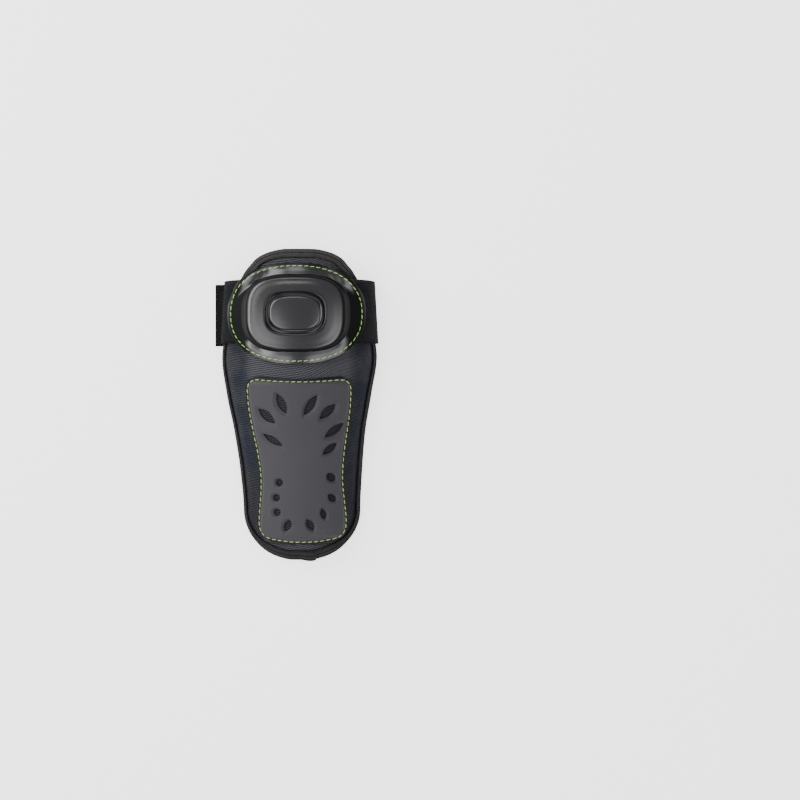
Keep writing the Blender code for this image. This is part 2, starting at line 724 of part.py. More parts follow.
def build_strap(group):
    finish = material("ribbed_elastic", (0.019, 0.018, 0.021), 0.75)
    threads = {}

    def place(u, v):
        y = STRAP_CENTRE_Y + v * STRAP_WIDTH / 2
        key = round(v, 4)
        if key not in threads:
            threads[key] = strap_route(y, 1, STRAP_THICKNESS, floor, -STRAP_TAB_REACH)
        route = threads[key]
        index = round((u + 1) / 2 * (len(route) - 1))
        x, z = route[index]
        back_start = len(route) - 1 - STRAP_STEPS["back"]
        on_back = max(index - back_start, 0) / STRAP_STEPS["back"]
        return Vector((x, y - STRAP_DROP * on_back, z))

    steps = sum(STRAP_STEPS.values())
    strap = mapped_grid("elastic_strap", steps, STRAP_ROWS, place, group, finish)
    thicken(strap, STRAP_THICKNESS, 0)
    return strap


def build_wing(group):
    finish = material("wing_elastic", (0.024, 0.025, 0.027), 0.80)
    back = floor + STRAP_THICKNESS + GAP + HOOK_THICKNESS + GAP
    fold_x = PAD_WIDTH / 2
    end_x = fold_x - WING_REACH
    threads = {}

    def place(u, v):
        y = STRAP_CENTRE_Y + v * STRAP_WIDTH / 2
        key = round(v, 4)
        if key not in threads:
            threads[key] = strap_route(y, -1, WING_THICKNESS, back, end_x)
        route = threads[key]
        x, z = route[round((u + 1) / 2 * (len(route) - 1))]
        to_end = max(WING_CORNER - (x - end_x), 0.0) if z < back + WING_THICKNESS else 0.0
        narrow = WING_CORNER - math.sqrt(max(WING_CORNER**2 - to_end**2, 0.0))
        return Vector((-x, y - v * min(narrow, WING_CORNER * WING_END_SHARE), z))

    steps = sum(STRAP_STEPS.values())
    wing = mapped_grid("strap_wing", steps, STRAP_ROWS, place, group, finish)
    wing.data.flip_normals()
    thicken(wing, WING_THICKNESS, 0)
    return wing


def build_hook_patch(group):
    finish = material("hook_fastener", (0.012, 0.012, 0.012), 0.90)
    shape = bmesh.new()
    bmesh.ops.create_cube(shape, size=1.0)
    width = STRAP_WIDTH - 2 * (HOOK_MARGIN + STRAP_DROP)
    bmesh.ops.scale(shape, vec=(HOOK_LENGTH, width, HOOK_THICKNESS), verts=shape.verts)
    centre = Vector((
        -STRAP_TAB_REACH + HOOK_MARGIN + HOOK_LENGTH / 2,
        STRAP_CENTRE_Y - STRAP_DROP / 2,
        floor + STRAP_THICKNESS + GAP + HOOK_THICKNESS / 2,
    ))
    bmesh.ops.translate(shape, vec=centre, verts=shape.verts)
    mesh = bpy.data.meshes.new("hook_patch")
    shape.to_mesh(mesh)
    shape.free()
    patch = bpy.data.objects.new("hook_patch", mesh)
    patch.data.materials.append(finish)
    group.objects.link(patch)
    return patch


def stand_on_origin(group):
    """Moves every piece so that the origin is on the floor, under the middle of the footprint."""
    bpy.context.view_layer.update()
    graph = bpy.context.evaluated_depsgraph_get()
    corners = [
        piece.matrix_world @ Vector(corner)
        for piece in group.objects
        for corner in piece.evaluated_get(graph).bound_box
    ]
    low = Vector(min(corner[axis] for corner in corners) for axis in range(3))
    high = Vector(max(corner[axis] for corner in corners) for axis in range(3))
    for piece in group.objects:
        piece.location -= Vector(((low.x + high.x) / 2, (low.y + high.y) / 2, low.z))


clear_scene()
guard = collection("knee_guard")
helpers = collection("cutters", hidden=True)
floor = floor_height()
build_pad(guard)
build_lining(guard)
build_edge_tape(guard)
build_cap(guard)
build_panel(guard, helpers)
build_strap(guard)
build_wing(guard)
build_hook_patch(guard)
stand_on_origin(guard)
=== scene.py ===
"""The finished look of a padded knee and shin guard, lying face up on the back of its strap."""

import math
from collections import namedtuple

import bmesh
import bpy
import numpy as np
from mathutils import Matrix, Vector
from mathutils.bvhtree import BVHTree
from mathutils.kdtree import KDTree


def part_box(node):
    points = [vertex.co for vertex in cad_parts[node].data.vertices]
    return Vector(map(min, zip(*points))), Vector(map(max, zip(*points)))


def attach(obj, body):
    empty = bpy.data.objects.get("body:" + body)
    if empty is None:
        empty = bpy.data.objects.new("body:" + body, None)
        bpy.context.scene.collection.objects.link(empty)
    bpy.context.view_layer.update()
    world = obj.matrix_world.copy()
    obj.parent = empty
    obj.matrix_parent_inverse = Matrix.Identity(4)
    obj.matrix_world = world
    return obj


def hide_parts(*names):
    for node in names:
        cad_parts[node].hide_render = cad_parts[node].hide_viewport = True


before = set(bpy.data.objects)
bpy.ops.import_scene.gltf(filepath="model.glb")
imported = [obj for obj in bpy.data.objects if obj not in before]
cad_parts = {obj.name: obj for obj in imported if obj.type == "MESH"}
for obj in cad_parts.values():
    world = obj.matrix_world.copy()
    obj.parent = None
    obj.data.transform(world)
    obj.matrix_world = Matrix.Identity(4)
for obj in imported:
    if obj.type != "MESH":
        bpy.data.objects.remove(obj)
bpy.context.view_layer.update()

# Padded body: a sheet of foam bent round the leg, with a woven air mesh bonded to its face. The foam is
# pressed thin at its edge, where the tape holds it, and along the seams of the panel and the cap.

PAD_LENGTH = 0.2584
PAD_WIDTH = 0.1240
ARCH_DEPTH = 0.0306
PAD_THICKNESS = 0.0080
PAD_EDGE_THICKNESS = 0.0034
EDGE_TAPER = 0.0150
BOTTOM_ROUND, BOTTOM_SQUARE = 0.0390, 2.05
TOP_ROUND, TOP_SQUARE = 0.0190, 2.3
END_FLAT = 0.0006
GAP = 0.0004

# along is a share of PAD_LENGTH from the bottom. half_width, arch and shift are shares of half of
# PAD_WIDTH, and sagitta and dip of ARCH_DEPTH.
Section = namedtuple("Section", "along half_width arch shift sagitta dip")
PAD_SECTIONS = (
    Section(0.000, 0.735, 0.735, 0.029, 0.700, 0.280),
    Section(0.050, 0.735, 0.735, 0.029, 0.700, 0.110),
    Section(0.100, 0.736, 0.736, 0.029, 0.700, 0.030),
    Section(0.150, 0.738, 0.738, 0.028, 0.700, 0.000),
    Section(0.280, 0.774, 0.774, 0.018, 0.730, 0.000),
    Section(0.413, 0.837, 0.837, 0.000, 0.800, 0.000),
    Section(0.544, 0.935, 0.935, -0.009, 0.900, 0.000),
    Section(0.660, 1.000, 1.000, -0.002, 1.000, 0.000),
    Section(0.705, 0.982, 1.000, 0.000, 1.000, 0.000),
    Section(0.760, 0.950, 1.000, 0.001, 1.000, 0.000),
    Section(0.820, 0.900, 1.000, 0.002, 1.000, 0.020),
    Section(0.880, 0.812, 1.000, 0.003, 1.000, 0.070),
    Section(0.925, 0.704, 1.000, 0.004, 1.000, 0.150),
    Section(0.960, 0.632, 1.000, 0.006, 1.000, 0.260),
    Section(1.000, 0.630, 1.000, 0.014, 1.000, 0.440),
)

# The strap, the hook patch and the wing, 1.5, 0.8 and 1.5 mm thick, lie under the rim on top of each other.
STRAP_STACK = 0.0038 + 5 * GAP
RISE_START, RISE_END = 0.20, 0.66

PAD_COLUMNS, PAD_ROWS = 130, 270
SEAM_PRESS = 0.0006
SEAM_REACH = 0.0060


def smoothstep(value):
    value = np.clip(value, 0.0, 1.0)
    return value * value * (3 - 2 * value)


def table_curve(rows, column, station="along"):
    """A smooth curve with no overshoot through one column of a table."""
    stations = np.array([getattr(row, station) for row in rows])
    values = np.array([getattr(row, column) for row in rows])
    steps = np.diff(stations)
    rises = np.diff(values) / steps
    before, after = rises[:-1], rises[1:]
    total = np.where(before * after > 0, before + after, 1.0)
    inner = np.where(before * after > 0, 2 * before * after / total, 0.0)
    slopes = np.concatenate([rises[:1], inner, rises[-1:]])

    def curve(along):
        index = np.clip(np.searchsorted(stations, along, side="right") - 1, 0, len(steps) - 1)
        step = steps[index]
        t = np.clip((along - stations[index]) / step, 0.0, 1.0)
        start = (1 + 2 * t) * (1 - t) ** 2 * values[index] + t * (1 - t) ** 2 * step * slopes[index]
        end = t * t * (3 - 2 * t) * values[index + 1] + t * t * (t - 1) * step * slopes[index + 1]
        below = np.minimum(along - stations[0], 0.0) * slopes[0]
        above = np.maximum(along - stations[-1], 0.0) * slopes[-1]
        return start + end + below + above

    return curve


share_half_width, share_arch, share_shift, share_sagitta, share_dip = (
    table_curve(PAD_SECTIONS, column) for column in Section._fields[1:]
)


def along_pad(y):
    return y / PAD_LENGTH + 0.5


def middle(y):
    """The pad's middle line, which bends a little to the right towards its lower end."""
    return share_shift(along_pad(y)) * PAD_WIDTH / 2


def end_rounding(distance, length, square):
    """The share of the width that is left at this distance from a rounded end."""
    reach = np.clip(1 - (distance + END_FLAT) / length, 0.0, 1.0)
    return (1 - reach**square) ** (1 / square)


def edge_half_width(y):
    """Half of the width of the pad's inner face at y."""
    width = share_half_width(along_pad(y)) * PAD_WIDTH / 2
    width = width * end_rounding(y + PAD_LENGTH / 2, BOTTOM_ROUND, BOTTOM_SQUARE)
    return width * end_rounding(PAD_LENGTH / 2 - y, TOP_ROUND, TOP_SQUARE)


def arch_arc(along):
    """The radius and the rise of the arc across the leg."""
    half_chord = share_arch(along) * PAD_WIDTH / 2
    sagitta = share_sagitta(along) * ARCH_DEPTH
    return (half_chord**2 + sagitta**2) / (2 * sagitta), sagitta


def base_height(x, y):
    """The height of the pad's inner face: an arc across the leg, with a crest that dips at both ends."""
    along = along_pad(y)
    radius, sagitta = arch_arc(along)
    rise = STRAP_STACK * smoothstep((along - RISE_START) / (RISE_END - RISE_START))
    crest = rise + sagitta - share_dip(along) * ARCH_DEPTH
    inside = np.minimum(np.abs(x - middle(y)), 0.97 * radius)
    return crest - radius + np.sqrt(radius**2 - inside**2)


def over_base(x, y, above):
    """The points at this distance in front of the pad's inner face, along its normal."""
    step = 0.0005
    slope_x = (base_height(x + step, y) - base_height(x - step, y)) / (2 * step)
    slope_y = (base_height(x, y + step) - base_height(x, y - step)) / (2 * step)
    part = above / np.sqrt(1 + slope_x**2 + slope_y**2)
    return np.stack([x - slope_x * part, y - slope_y * part, base_height(x, y) + part], axis=-1)


def end_spread(share):
    """Turns -1..1 into -1..1 with closer rows at both ends."""
    bend = 0.93 * math.pi / 2
    return np.sin(share * bend) / math.sin(bend)


def rim_plan(samples=960, bend_weight=0.0200):
    """The pad's closed outline in plan, with closer points where it bends, and the directions into it."""
    y = end_spread(np.linspace(-1, 1, samples + 1)) * PAD_LENGTH / 2
    right = np.column_stack([middle(y) + edge_half_width(y), y])
    left = np.column_stack([middle(y) - edge_half_width(y), y])[::-1]
    closed = np.vstack([right, left, right[:1]])
    sides = np.diff(closed, axis=0)
    heading = np.unwrap(np.arctan2(sides[:, 1], sides[:, 0]))
    bends = np.abs(np.diff(heading, append=heading[0] + 2 * math.pi))
    measure = np.linalg.norm(sides, axis=1) + bend_weight * bends
    lengths = np.concatenate([[0.0], np.cumsum(measure)])
    even = np.linspace(0.0, lengths[-1], samples + 1)
    points = np.column_stack([np.interp(even, lengths, closed[:, axis]) for axis in (0, 1)])[:-1]
    reach = samples // 80
    ahead = np.roll(points, -reach, axis=0) - np.roll(points, reach, axis=0)
    inward = np.column_stack([-ahead[:, 1], ahead[:, 0]])
    return points, inward / np.linalg.norm(inward, axis=1)[:, None]


RIM_POINTS, RIM_INWARD = rim_plan()


def line_tree(points, steps=8):
    """A search tree of a closed line, in this many steps from each of its points to the next."""
    ahead = np.roll(points, -1, axis=0)
    shares = np.arange(steps) / steps
    fine = np.concatenate([points * (1 - share) + ahead * share for share in shares])
    tree = KDTree(len(fine))
    for index, point in enumerate(fine):
        tree.insert(point, index)
    tree.balance()
    return tree


RIM_TREE = line_tree(np.column_stack([RIM_POINTS, base_height(RIM_POINTS[:, 0], RIM_POINTS[:, 1])]))


def nearest_rim(x, y):
    """How far points of the pad's inner face are from its edge, 0 beyond it, and the edge's y there."""
    spots = np.stack([x, y, base_height(x, y)], axis=-1).reshape(-1, 3)
    found = [RIM_TREE.find(spot) for spot in spots]
    distances = np.array([distance for _, _, distance in found]).reshape(np.shape(x))
    edge_y = np.array([point[1] for point, _, _ in found]).reshape(np.shape(x))
    outside = (np.abs(y) > PAD_LENGTH / 2) | (np.abs(x - middle(y)) > edge_half_width(y))
    return np.where(outside, 0.0, distances), edge_y


def rim_distance(x, y):
    return nearest_rim(x, y)[0]


def taper(distance):
    """The pad's thickness at this distance from its edge."""
    share = np.sin(math.pi / 2 * np.clip(distance / EDGE_TAPER, 0.0, 1.0))
    return PAD_EDGE_THICKNESS + (PAD_THICKNESS - PAD_EDGE_THICKNESS) * share


# The edge tape's, the panel's and the cap's sizes that the pad's face is shaped for
TAPE_THICKNESS = 0.0012
TAPE_FRONT_WIDTH = 0.0055
TAPE_SEAT = 0.0005
TAPE_TOP_EXTRA = 0.0036
TOP_TAPE_START, TOP_TAPE_END = 0.41, 0.46
TAPE_LEAD = 0.0030
CAP_LENGTH = 0.1140
CAP_HEIGHT = 0.0847
CAP_SQUARE = 2.3
CAP_OFFSET_X = -0.0014
CAP_FROM_TOP = 0.0522
CAP_CENTRE_Y = PAD_LENGTH / 2 - CAP_FROM_TOP
PANEL_FROM_BOTTOM = 0.0131
PANEL_TO_CAP = 0.01165
PANEL_LENGTH = PAD_LENGTH - PANEL_FROM_BOTTOM - PANEL_TO_CAP - CAP_HEIGHT / 2 - CAP_FROM_TOP
PANEL_CENTRE_Y = PANEL_FROM_BOTTOM + (PANEL_LENGTH - PAD_LENGTH) / 2
PANEL_WIDTH = 0.0918
PANEL_OFFSET_X = 0.0016

PanelSection = namedtuple("PanelSection", "along half_width")
PANEL_SECTIONS = (
    PanelSection(0.00, 0.835),
    PanelSection(0.13, 0.840),
    PanelSection(0.24, 0.812),
    PanelSection(0.38, 0.785),
    PanelSection(0.52, 0.822),
    PanelSection(0.68, 0.905),
    PanelSection(0.84, 0.975),
    PanelSection(1.00, 1.000),
)
share_panel_width = table_curve(PANEL_SECTIONS, "half_width")


def panel_half_width(along):
    return share_panel_width(along) * PANEL_WIDTH / 2


def panel_outline_distance(x, y):
    """How far x, y is inside the shin panel's outline, in plan, and below 0 outside it."""
    from_bottom = y - PANEL_CENTRE_Y + PANEL_LENGTH / 2
    beside = panel_half_width(from_bottom / PANEL_LENGTH) - np.abs(x - PANEL_OFFSET_X - middle(y))
    return np.minimum(beside, np.minimum(from_bottom, PANEL_LENGTH - from_bottom))


def top_tape(y):
    """1 where the tape's front lip is wider over the top edge, and 0 beside the leg."""
    return smoothstep((y / PAD_LENGTH - TOP_TAPE_START) / (TOP_TAPE_END - TOP_TAPE_START))


def over_tape(x, y):
    """How much higher a piece lies where the edge tape is under it."""
    distance, edge_y = nearest_rim(x, y)
    width = TAPE_FRONT_WIDTH + TAPE_TOP_EXTRA * top_tape(edge_y)
    return (TAPE_THICKNESS + TAPE_SEAT) * smoothstep((width + TAPE_LEAD - distance) / TAPE_LEAD)


def on_pad(x, y, above):
    """The points over plan positions x, y that lie at this distance in front of the pad's outer face."""
    foot_x, foot_y = x, y
    for _ in range(5):
        points = over_base(foot_x, foot_y, taper(rim_distance(foot_x, foot_y)) + above)
        foot_x = foot_x + x - points[..., 0]
        foot_y = foot_y + y - points[..., 1]
    return points


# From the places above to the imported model's: across and along from the hook patch, which is flat and
# square, and up from the pad's crest.
HOOK_LEFT_X = -0.0693
HOOK_CENTRE_Y = PAD_LENGTH / 2 - 0.0508
patch_low, patch_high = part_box("hook_patch")
crest_height = STRAP_STACK + ARCH_DEPTH + PAD_THICKNESS
SHIFT = np.array(
    (
        patch_low[0] - HOOK_LEFT_X,
        (patch_low[1] + patch_high[1]) / 2 - HOOK_CENTRE_Y,
        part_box("mesh_pad")[1][2] - crest_height,
    )
)
floor = -SHIFT[2]


def new_piece(name, shape):
    """A piece with this shape, smooth and in the scene."""
    mesh = bpy.data.meshes.new(name)
    shape.to_mesh(mesh)
    shape.free()
    mesh.shade_smooth()
    piece = bpy.data.objects.new(name, mesh)
    bpy.context.scene.collection.objects.link(piece)
    return piece


def grid_piece(name, columns, rows, place, uv=None, merge=False):
    """A piece from a flat grid: place gives each vertex its point, for arrays of u and v from -1 to 1.

    uv gives it a map in metres along the cloth, from the same u and v.
    """
    shape = bmesh.new()
    bmesh.ops.create_grid(shape, x_segments=columns, y_segments=rows, size=1.0)
    flat = np.array([vertex.co[:2] for vertex in shape.verts])
    points = place(flat[:, 0], flat[:, 1]) + SHIFT
    if uv is not None:
        layer = shape.loops.layers.uv.new("cloth")
        spread = np.column_stack(uv(flat[:, 0], flat[:, 1]))
        for face in shape.faces:
            for loop in face.loops:
                loop[layer].uv = spread[loop.vert.index]
    for vertex, point in zip(shape.verts, points):
        vertex.co = point
    if merge:
        bmesh.ops.remove_doubles(shape, verts=shape.verts, dist=0.00001)
    return new_piece(name, shape)


def thicken(piece, thickness, side, shares=None):
    """Gives an open surface its thickness: side 1 in front of it, -1 behind it and 0 both ways."""
    wall = piece.modifiers.new("wall", "SOLIDIFY")
    wall.thickness = thickness
    wall.offset = side
    if shares is not None:
        group = piece.vertex_groups.new(name="thickness")
        for index, share in enumerate(shares):
            group.add([index], float(share), "REPLACE")
        wall.vertex_group = group.name
    apply_modifiers(piece)


def apply_modifiers(piece):
    graph = bpy.context.evaluated_depsgraph_get()
    mesh = bpy.data.meshes.new_from_object(piece.evaluated_get(graph), depsgraph=graph)
    piece.modifiers.clear()
    piece.vertex_groups.clear()
    piece.data = mesh


def plan_of(piece):
    """The x and y of a piece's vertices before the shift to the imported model's place."""
    flat = np.empty(len(piece.data.vertices) * 3)
    piece.data.vertices.foreach_get("co", flat)
    flat = flat.reshape(-1, 3) - SHIFT
    return flat[:, 0], flat[:, 1]


def paint(piece, name, values):
    """Keeps a number for each of a piece's vertices, for its material to read."""
    layer = piece.data.attributes.new(name, "FLOAT", "POINT")
    layer.data.foreach_set("value", np.asarray(values, dtype=np.float32))


class Signal:
    """A number, colour or vector in a material. Arithmetic on it adds the Math nodes that work it out."""

    def __init__(self, tree, socket=None):
        self.tree = tree
        self.socket = socket

    def node(self, kind, settings=None, inputs=None, output=0):
        """One output of a new node, whose settings are made before its inputs are filled."""
        made = self.tree.nodes.new("ShaderNode" + kind)
        for setting, value in (settings or {}).items():
            setattr(made, setting, value)
        for name, value in (inputs or {}).items():
            if isinstance(value, Signal):
                self.tree.links.new(value.socket, made.inputs[name])
            else:
                made.inputs[name].default_value = value
        return Signal(self.tree, made.outputs[output])

    def math(self, operation, *others):
        return self.node("Math", {"operation": operation}, dict(enumerate((self, *others))))

    def __add__(self, other):
        return self.math("ADD", other)

    def __sub__(self, other):
        return self.math("SUBTRACT", other)

    def __rsub__(self, other):
        return self.math("MULTIPLY_ADD", -1.0, other)

    def __mul__(self, other):
        return self.math("MULTIPLY", other)

    def __truediv__(self, other):
        return self.math("DIVIDE", other)

    __radd__ = __add__
    __rmul__ = __mul__

    def sine(self, period):
        """A wave from 0 to 1 of this period."""
        return (self * (2 * math.pi / period)).math("SINE") * 0.5 + 0.5

    def line(self, place, width):
        """1 on a line at this place, down to 0 at this distance from it."""
        return 1 - (self - place).math("ABSOLUTE").ramp(width / 3, width)

    def ramp(self, low, high):
        """0 below low, 1 above high and smooth between them."""
        inputs = {"Value": self, "From Min": low, "From Max": high}
        return self.node("MapRange", {"interpolation_type": "SMOOTHSTEP"}, inputs)

    def colours(self, first, second):
        """The first colour where this is 0 and the second where it is 1."""
        first = first if isinstance(first, Signal) else (*first, 1.0)
        second = second if isinstance(second, Signal) else (*second, 1.0)
        return self.node("Mix", {"data_type": "RGBA"}, {0: self, 6: first, 7: second}, output=2)

    def noise(self, size, detail=2.0, roughness=0.5):
        """Noise over this vector, with spots of about this size."""
        inputs = {"Vector": self, "Scale": 1 / size, "Detail": detail, "Roughness": roughness}
        return self.node("TexNoise", {"noise_dimensions": "3D"}, inputs)

    def parts(self):
        """A vector's x, y and z."""
        made = self.node("SeparateXYZ", inputs={0: self})
        return [Signal(self.tree, output) for output in made.socket.node.outputs]


class Finish:
    """A material whose shader has these constants, with the places that its patterns read."""

    def __init__(self, name, **constants):
        self.material = bpy.data.materials.new(name)
        self.material.use_nodes = True
        self.tree = self.material.node_tree
        self.shader = self.tree.nodes["Principled BSDF"]
        for socket, value in constants.items():
            self.shader.inputs[socket.replace("_", " ")].default_value = value
        self.place = Signal(self.tree).node("TexCoord", output="Object")
        self.cloth = Signal(self.tree).node("UVMap", {"uv_map": "cloth"})

    def painted(self, name):
        """The number that was painted on the piece's vertices under this name."""
        settings = {"attribute_type": "GEOMETRY", "attribute_name": name}
        return Signal(self.tree).node("Attribute", settings, output="Fac")

    def wear(self, piece, colour, roughness=None, coat=None, height=None, depth=0.0001):
        """Links what changes over the surface, and puts the material on the piece."""
        self.tree.links.new(colour.socket, self.shader.inputs["Base Color"])
        if roughness is not None:
            self.tree.links.new(roughness.socket, self.shader.inputs["Roughness"])
        if coat is not None:
            self.tree.links.new(coat.socket, self.shader.inputs["Coat Weight"])
        if height is not None:
            inputs = {"Height": height, "Distance": depth, "Strength": 1.0}
            bump = Signal(self.tree).node("Bump", inputs=inputs)
            self.tree.links.new(bump.socket, self.shader.inputs["Normal"])
        piece.data.materials.clear()
        piece.data.materials.append(self.material)


def across_length(y, share):
    """The length over the arch from the middle line to this share of the half width, signed."""
    radius, _ = arch_arc(along_pad(y))
    return radius * np.arcsin(np.clip(share * edge_half_width(y) / radius, -0.97, 0.97))


def pad_point(above):
    def place(u, v):
        y = end_spread(v) * PAD_LENGTH / 2
        return over_base(middle(y) + end_spread(u) * edge_half_width(y), y, above)

    return place


def pad_cloth(u, v):
    y = end_spread(v) * PAD_LENGTH / 2
    return across_length(y, end_spread(u)), y


def oval_reach(x, y, half_x=1.0, half_y=1.0, square=CAP_SQUARE):
    """1 on a rounded outline of these shares of the cap's, less inside it and more outside."""
    across = np.abs((x - middle(CAP_CENTRE_Y) - CAP_OFFSET_X) / (half_x * CAP_LENGTH / 2))
    up = np.abs((y - CAP_CENTRE_Y) / (half_y * CAP_HEIGHT / 2))
    return (across**square + up**square) ** (1 / square)


def cap_outline_distance(x, y):
    """How far x, y is outside the cap's oval, about, in plan."""
    return (oval_reach(x, y) - 1) * CAP_HEIGHT / 2


PUCKER_DEPTH = 0.00006
PUCKER_PITCH = 0.0107
PUCKER_REACH = 0.0120
BESIDE_PANEL_REACH = 0.0120
UNDER_PANEL_SHADE_REACH = 0.0030


def pad_thickness(x, y):
    """The foam's thickness, pressed down beside the seams, with faint puckers round the cap."""
    from_rim = rim_distance(x, y)
    pressed = smoothstep(1 + panel_outline_distance(x, y) / SEAM_REACH)
    pressed = np.maximum(pressed, smoothstep(1 - cap_outline_distance(x, y) / SEAM_REACH))
    pressed = pressed * smoothstep(from_rim / EDGE_TAPER)
    near_cap = np.exp(-((cap_outline_distance(x, y) / PUCKER_REACH) ** 2))
    turn = np.arctan2(y - CAP_CENTRE_Y, x)
    puckers = np.sin(turn * CAP_LENGTH * math.pi / PUCKER_PITCH) * near_cap
    return taper(from_rim) - SEAM_PRESS * pressed + PUCKER_DEPTH * puckers


pad = grid_piece("pad_cover", PAD_COLUMNS, PAD_ROWS, pad_point(0.0), pad_cloth)
PAD_FULL = PAD_THICKNESS + PUCKER_DEPTH
thicken(pad, PAD_FULL, 1, pad_thickness(*plan_of(pad)) / PAD_FULL)
pad_x, pad_y = plan_of(pad)
from_bottom = pad_y - PANEL_CENTRE_Y + PANEL_LENGTH / 2
panel_half = panel_half_width(np.clip(from_bottom / PANEL_LENGTH, 0, 1))
beyond = np.abs(pad_x - PANEL_OFFSET_X - middle(pad_y)) - panel_half
# beside_panel is 1 on the pad's sloping sides away from the panel. It places the painted shade there and the
# navy patches.
paint(pad, "beside_panel", smoothstep(0.6 + beyond / BESIDE_PANEL_REACH))
# Painted shade: the mesh under the panel, seen through its openings, is painted darker.
paint(pad, "shade_under_panel", smoothstep(panel_outline_distance(pad_x, pad_y) / UNDER_PANEL_SHADE_REACH))

MESH_ROW = 0.00145
MESH_CELL = 0.0027
mesh_cloth = Finish("woven_air_mesh", Specular_IOR_Level=0.06)
across, up, _ = mesh_cloth.cloth.parts()
right_lean = across.ramp(-0.010, 0.055)
row = (up + across * 0.12 + right_lean * across * 0.42) / MESH_ROW
cell = across / MESH_CELL + row.math("FLOOR").math("PINGPONG", 1.0) * 0.5
in_row = row.math("FRACT") - 0.5
in_cell = cell.math("FRACT") - 0.5
hole = 1 - (in_row * in_row * 8.0 + in_cell * in_cell * 2.2).ramp(0.25, 1.0)
yarn = (across * 0.8 + up).sine(0.00042) * (across - up * 0.6).sine(0.00051)
beside_panel = mesh_cloth.painted("beside_panel")
navy = mesh_cloth.place.noise(0.026, 3.0).ramp(0.40, 0.62) * beside_panel
# Painted shade: the mesh is painted darker still on the sides of the pad's lower part.
low_side_shade = (0 - up).ramp(0.020, 0.110) * beside_panel
# Painted shade: the mesh on the sloping sides is painted about half as bright as next to the panel.
thread = beside_panel.colours((0.1100, 0.1110, 0.1240), (0.0520, 0.0525, 0.0600))
# Painted shade: darker mesh under the panel, where it shows through the openings.
thread = mesh_cloth.painted("shade_under_panel").colours(thread, (0.0480, 0.0480, 0.0530))
thread = (low_side_shade * 0.5).colours(thread, (0.0110, 0.0110, 0.0140))
thread = (navy * 0.8).colours(thread, (0.0230, 0.0290, 0.0450))
thread = (yarn * 0.5).colours(thread, (0.062, 0.064, 0.072))
mesh_cloth.wear(
    pad,
    (hole * 0.85).colours(thread, (0.0022, 0.0024, 0.0040)),
    roughness=0.70 + hole * 0.2,
    height=yarn * 0.25 - hole,
    depth=0.00030,
)
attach(pad, "root")
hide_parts("mesh_pad")

# Lining: a brushed knit cloth bonded to the pad's inner face. The stitching of the shin panel presses its
# outline through, so that it stands up as a low bowed field.

LINING_THICKNESS = 0.0014
IMPRESSION_DEPTH = 0.0008
IMPRESSION_BLEND = 0.0022
IMPRESSION_CLEAR = 0.0060
LINING_COLUMNS, LINING_ROWS = 100, 200
TAPE_BACK_WIDTH = 0.0110


def lining_thickness(x, y):
    pressed = smoothstep(0.5 + panel_outline_distance(x, y) / IMPRESSION_BLEND)
    clear_of_tape = rim_distance(x, y) - TAPE_BACK_WIDTH - GAP
    return LINING_THICKNESS + IMPRESSION_DEPTH * pressed * smoothstep(clear_of_tape / IMPRESSION_CLEAR)


lining = grid_piece("brushed_lining", LINING_COLUMNS, LINING_ROWS, pad_point(-GAP), pad_cloth)
LINING_FULL = LINING_THICKNESS + IMPRESSION_DEPTH
thicken(lining, LINING_FULL, -1, lining_thickness(*plan_of(lining)) / LINING_FULL)

lining_cloth = Finish("brushed_knit", Roughness=0.95, Specular_IOR_Level=0.03, Sheen_Weight=0.05)
across, up, _ = lining_cloth.cloth.parts()
nap = lining_cloth.place.noise(0.0009, 4.0, 0.7)
brushing = lining_cloth.place.noise(0.0180, 2.0)
fleece = nap.ramp(0.35, 0.75)
lint = lining_cloth.place.noise(0.0028, 0.0).ramp(0.77, 0.80)
dark_knit = brushing.ramp(0.4, 0.7).colours((0.0050, 0.0050, 0.0050), (0.0090, 0.0085, 0.0085))
lining_colour = (fleece * 0.6).colours(dark_knit, (0.0150, 0.0150, 0.0150))
lining_cloth.wear(
    lining,
    (lint * 0.5).colours(lining_colour, (0.09, 0.09, 0.09)),
    height=nap + across.sine(0.0011) * 0.15,
    depth=0.00030,
)
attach(lining, "root")
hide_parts("inner_lining")

# Edge tape: woven cloth tape folded round the whole rim and sewn through it in one seam. Its ends lap each
# other at the bottom, where the left end is cut square.

TAPE_BOTTOM_EXTRA = 0.0030
TAPE_BULGE = 0.0012
TAPE_CLEARANCE = 0.0008
LAP_CENTRE_X = 0.0110
LAP_LENGTH = 0.0200
LAP_RAMP, LAP_OVERHANG, LAP_CUT = 0.0080, 0.0035, 0.0008
TAPE_AROUND = 620
LIP_STEPS, TURN_STEPS = 11, 12
TAPE_STEPS = 2 * LIP_STEPS + TURN_STEPS
SEAM_SHARE = 0.55
SEAM_SINK = 0.0005
BOTTOM_TAPE_START, BOTTOM_TAPE_END = 0.44, 0.49
SCALLOPS = 190
SCALLOP_DEPTH = 0.0005
TAPE_PUCKER = 0.00010
BOTTOM_ROLL, TOP_ROLL = 0.0006, 0.0004
TAPE_MAP_LENGTH, TAPE_MAP_WIDTH = 0.6900, 0.0250


def bottom_tape(y):
    """1 where the tape's front lip is wider over the bottom edge, and 0 beside the leg."""
    return smoothstep((-y / PAD_LENGTH - BOTTOM_TAPE_START) / (BOTTOM_TAPE_END - BOTTOM_TAPE_START))


def rim_frame(share):
    """Points of the rim in plan, by their share of the way round, and the directions into the pad."""
    index = np.mod(share, 1.0) * len(RIM_POINTS)
    first = np.floor(index).astype(int) % len(RIM_POINTS)
    second = (first + 1) % len(RIM_POINTS)
    part = (index - np.floor(index))[..., None]
    points = RIM_POINTS[first] * (1 - part) + RIM_POINTS[second] * part
    inward = RIM_INWARD[first] * (1 - part) + RIM_INWARD[second] * part
    return points, inward / np.linalg.norm(inward, axis=-1)[..., None]


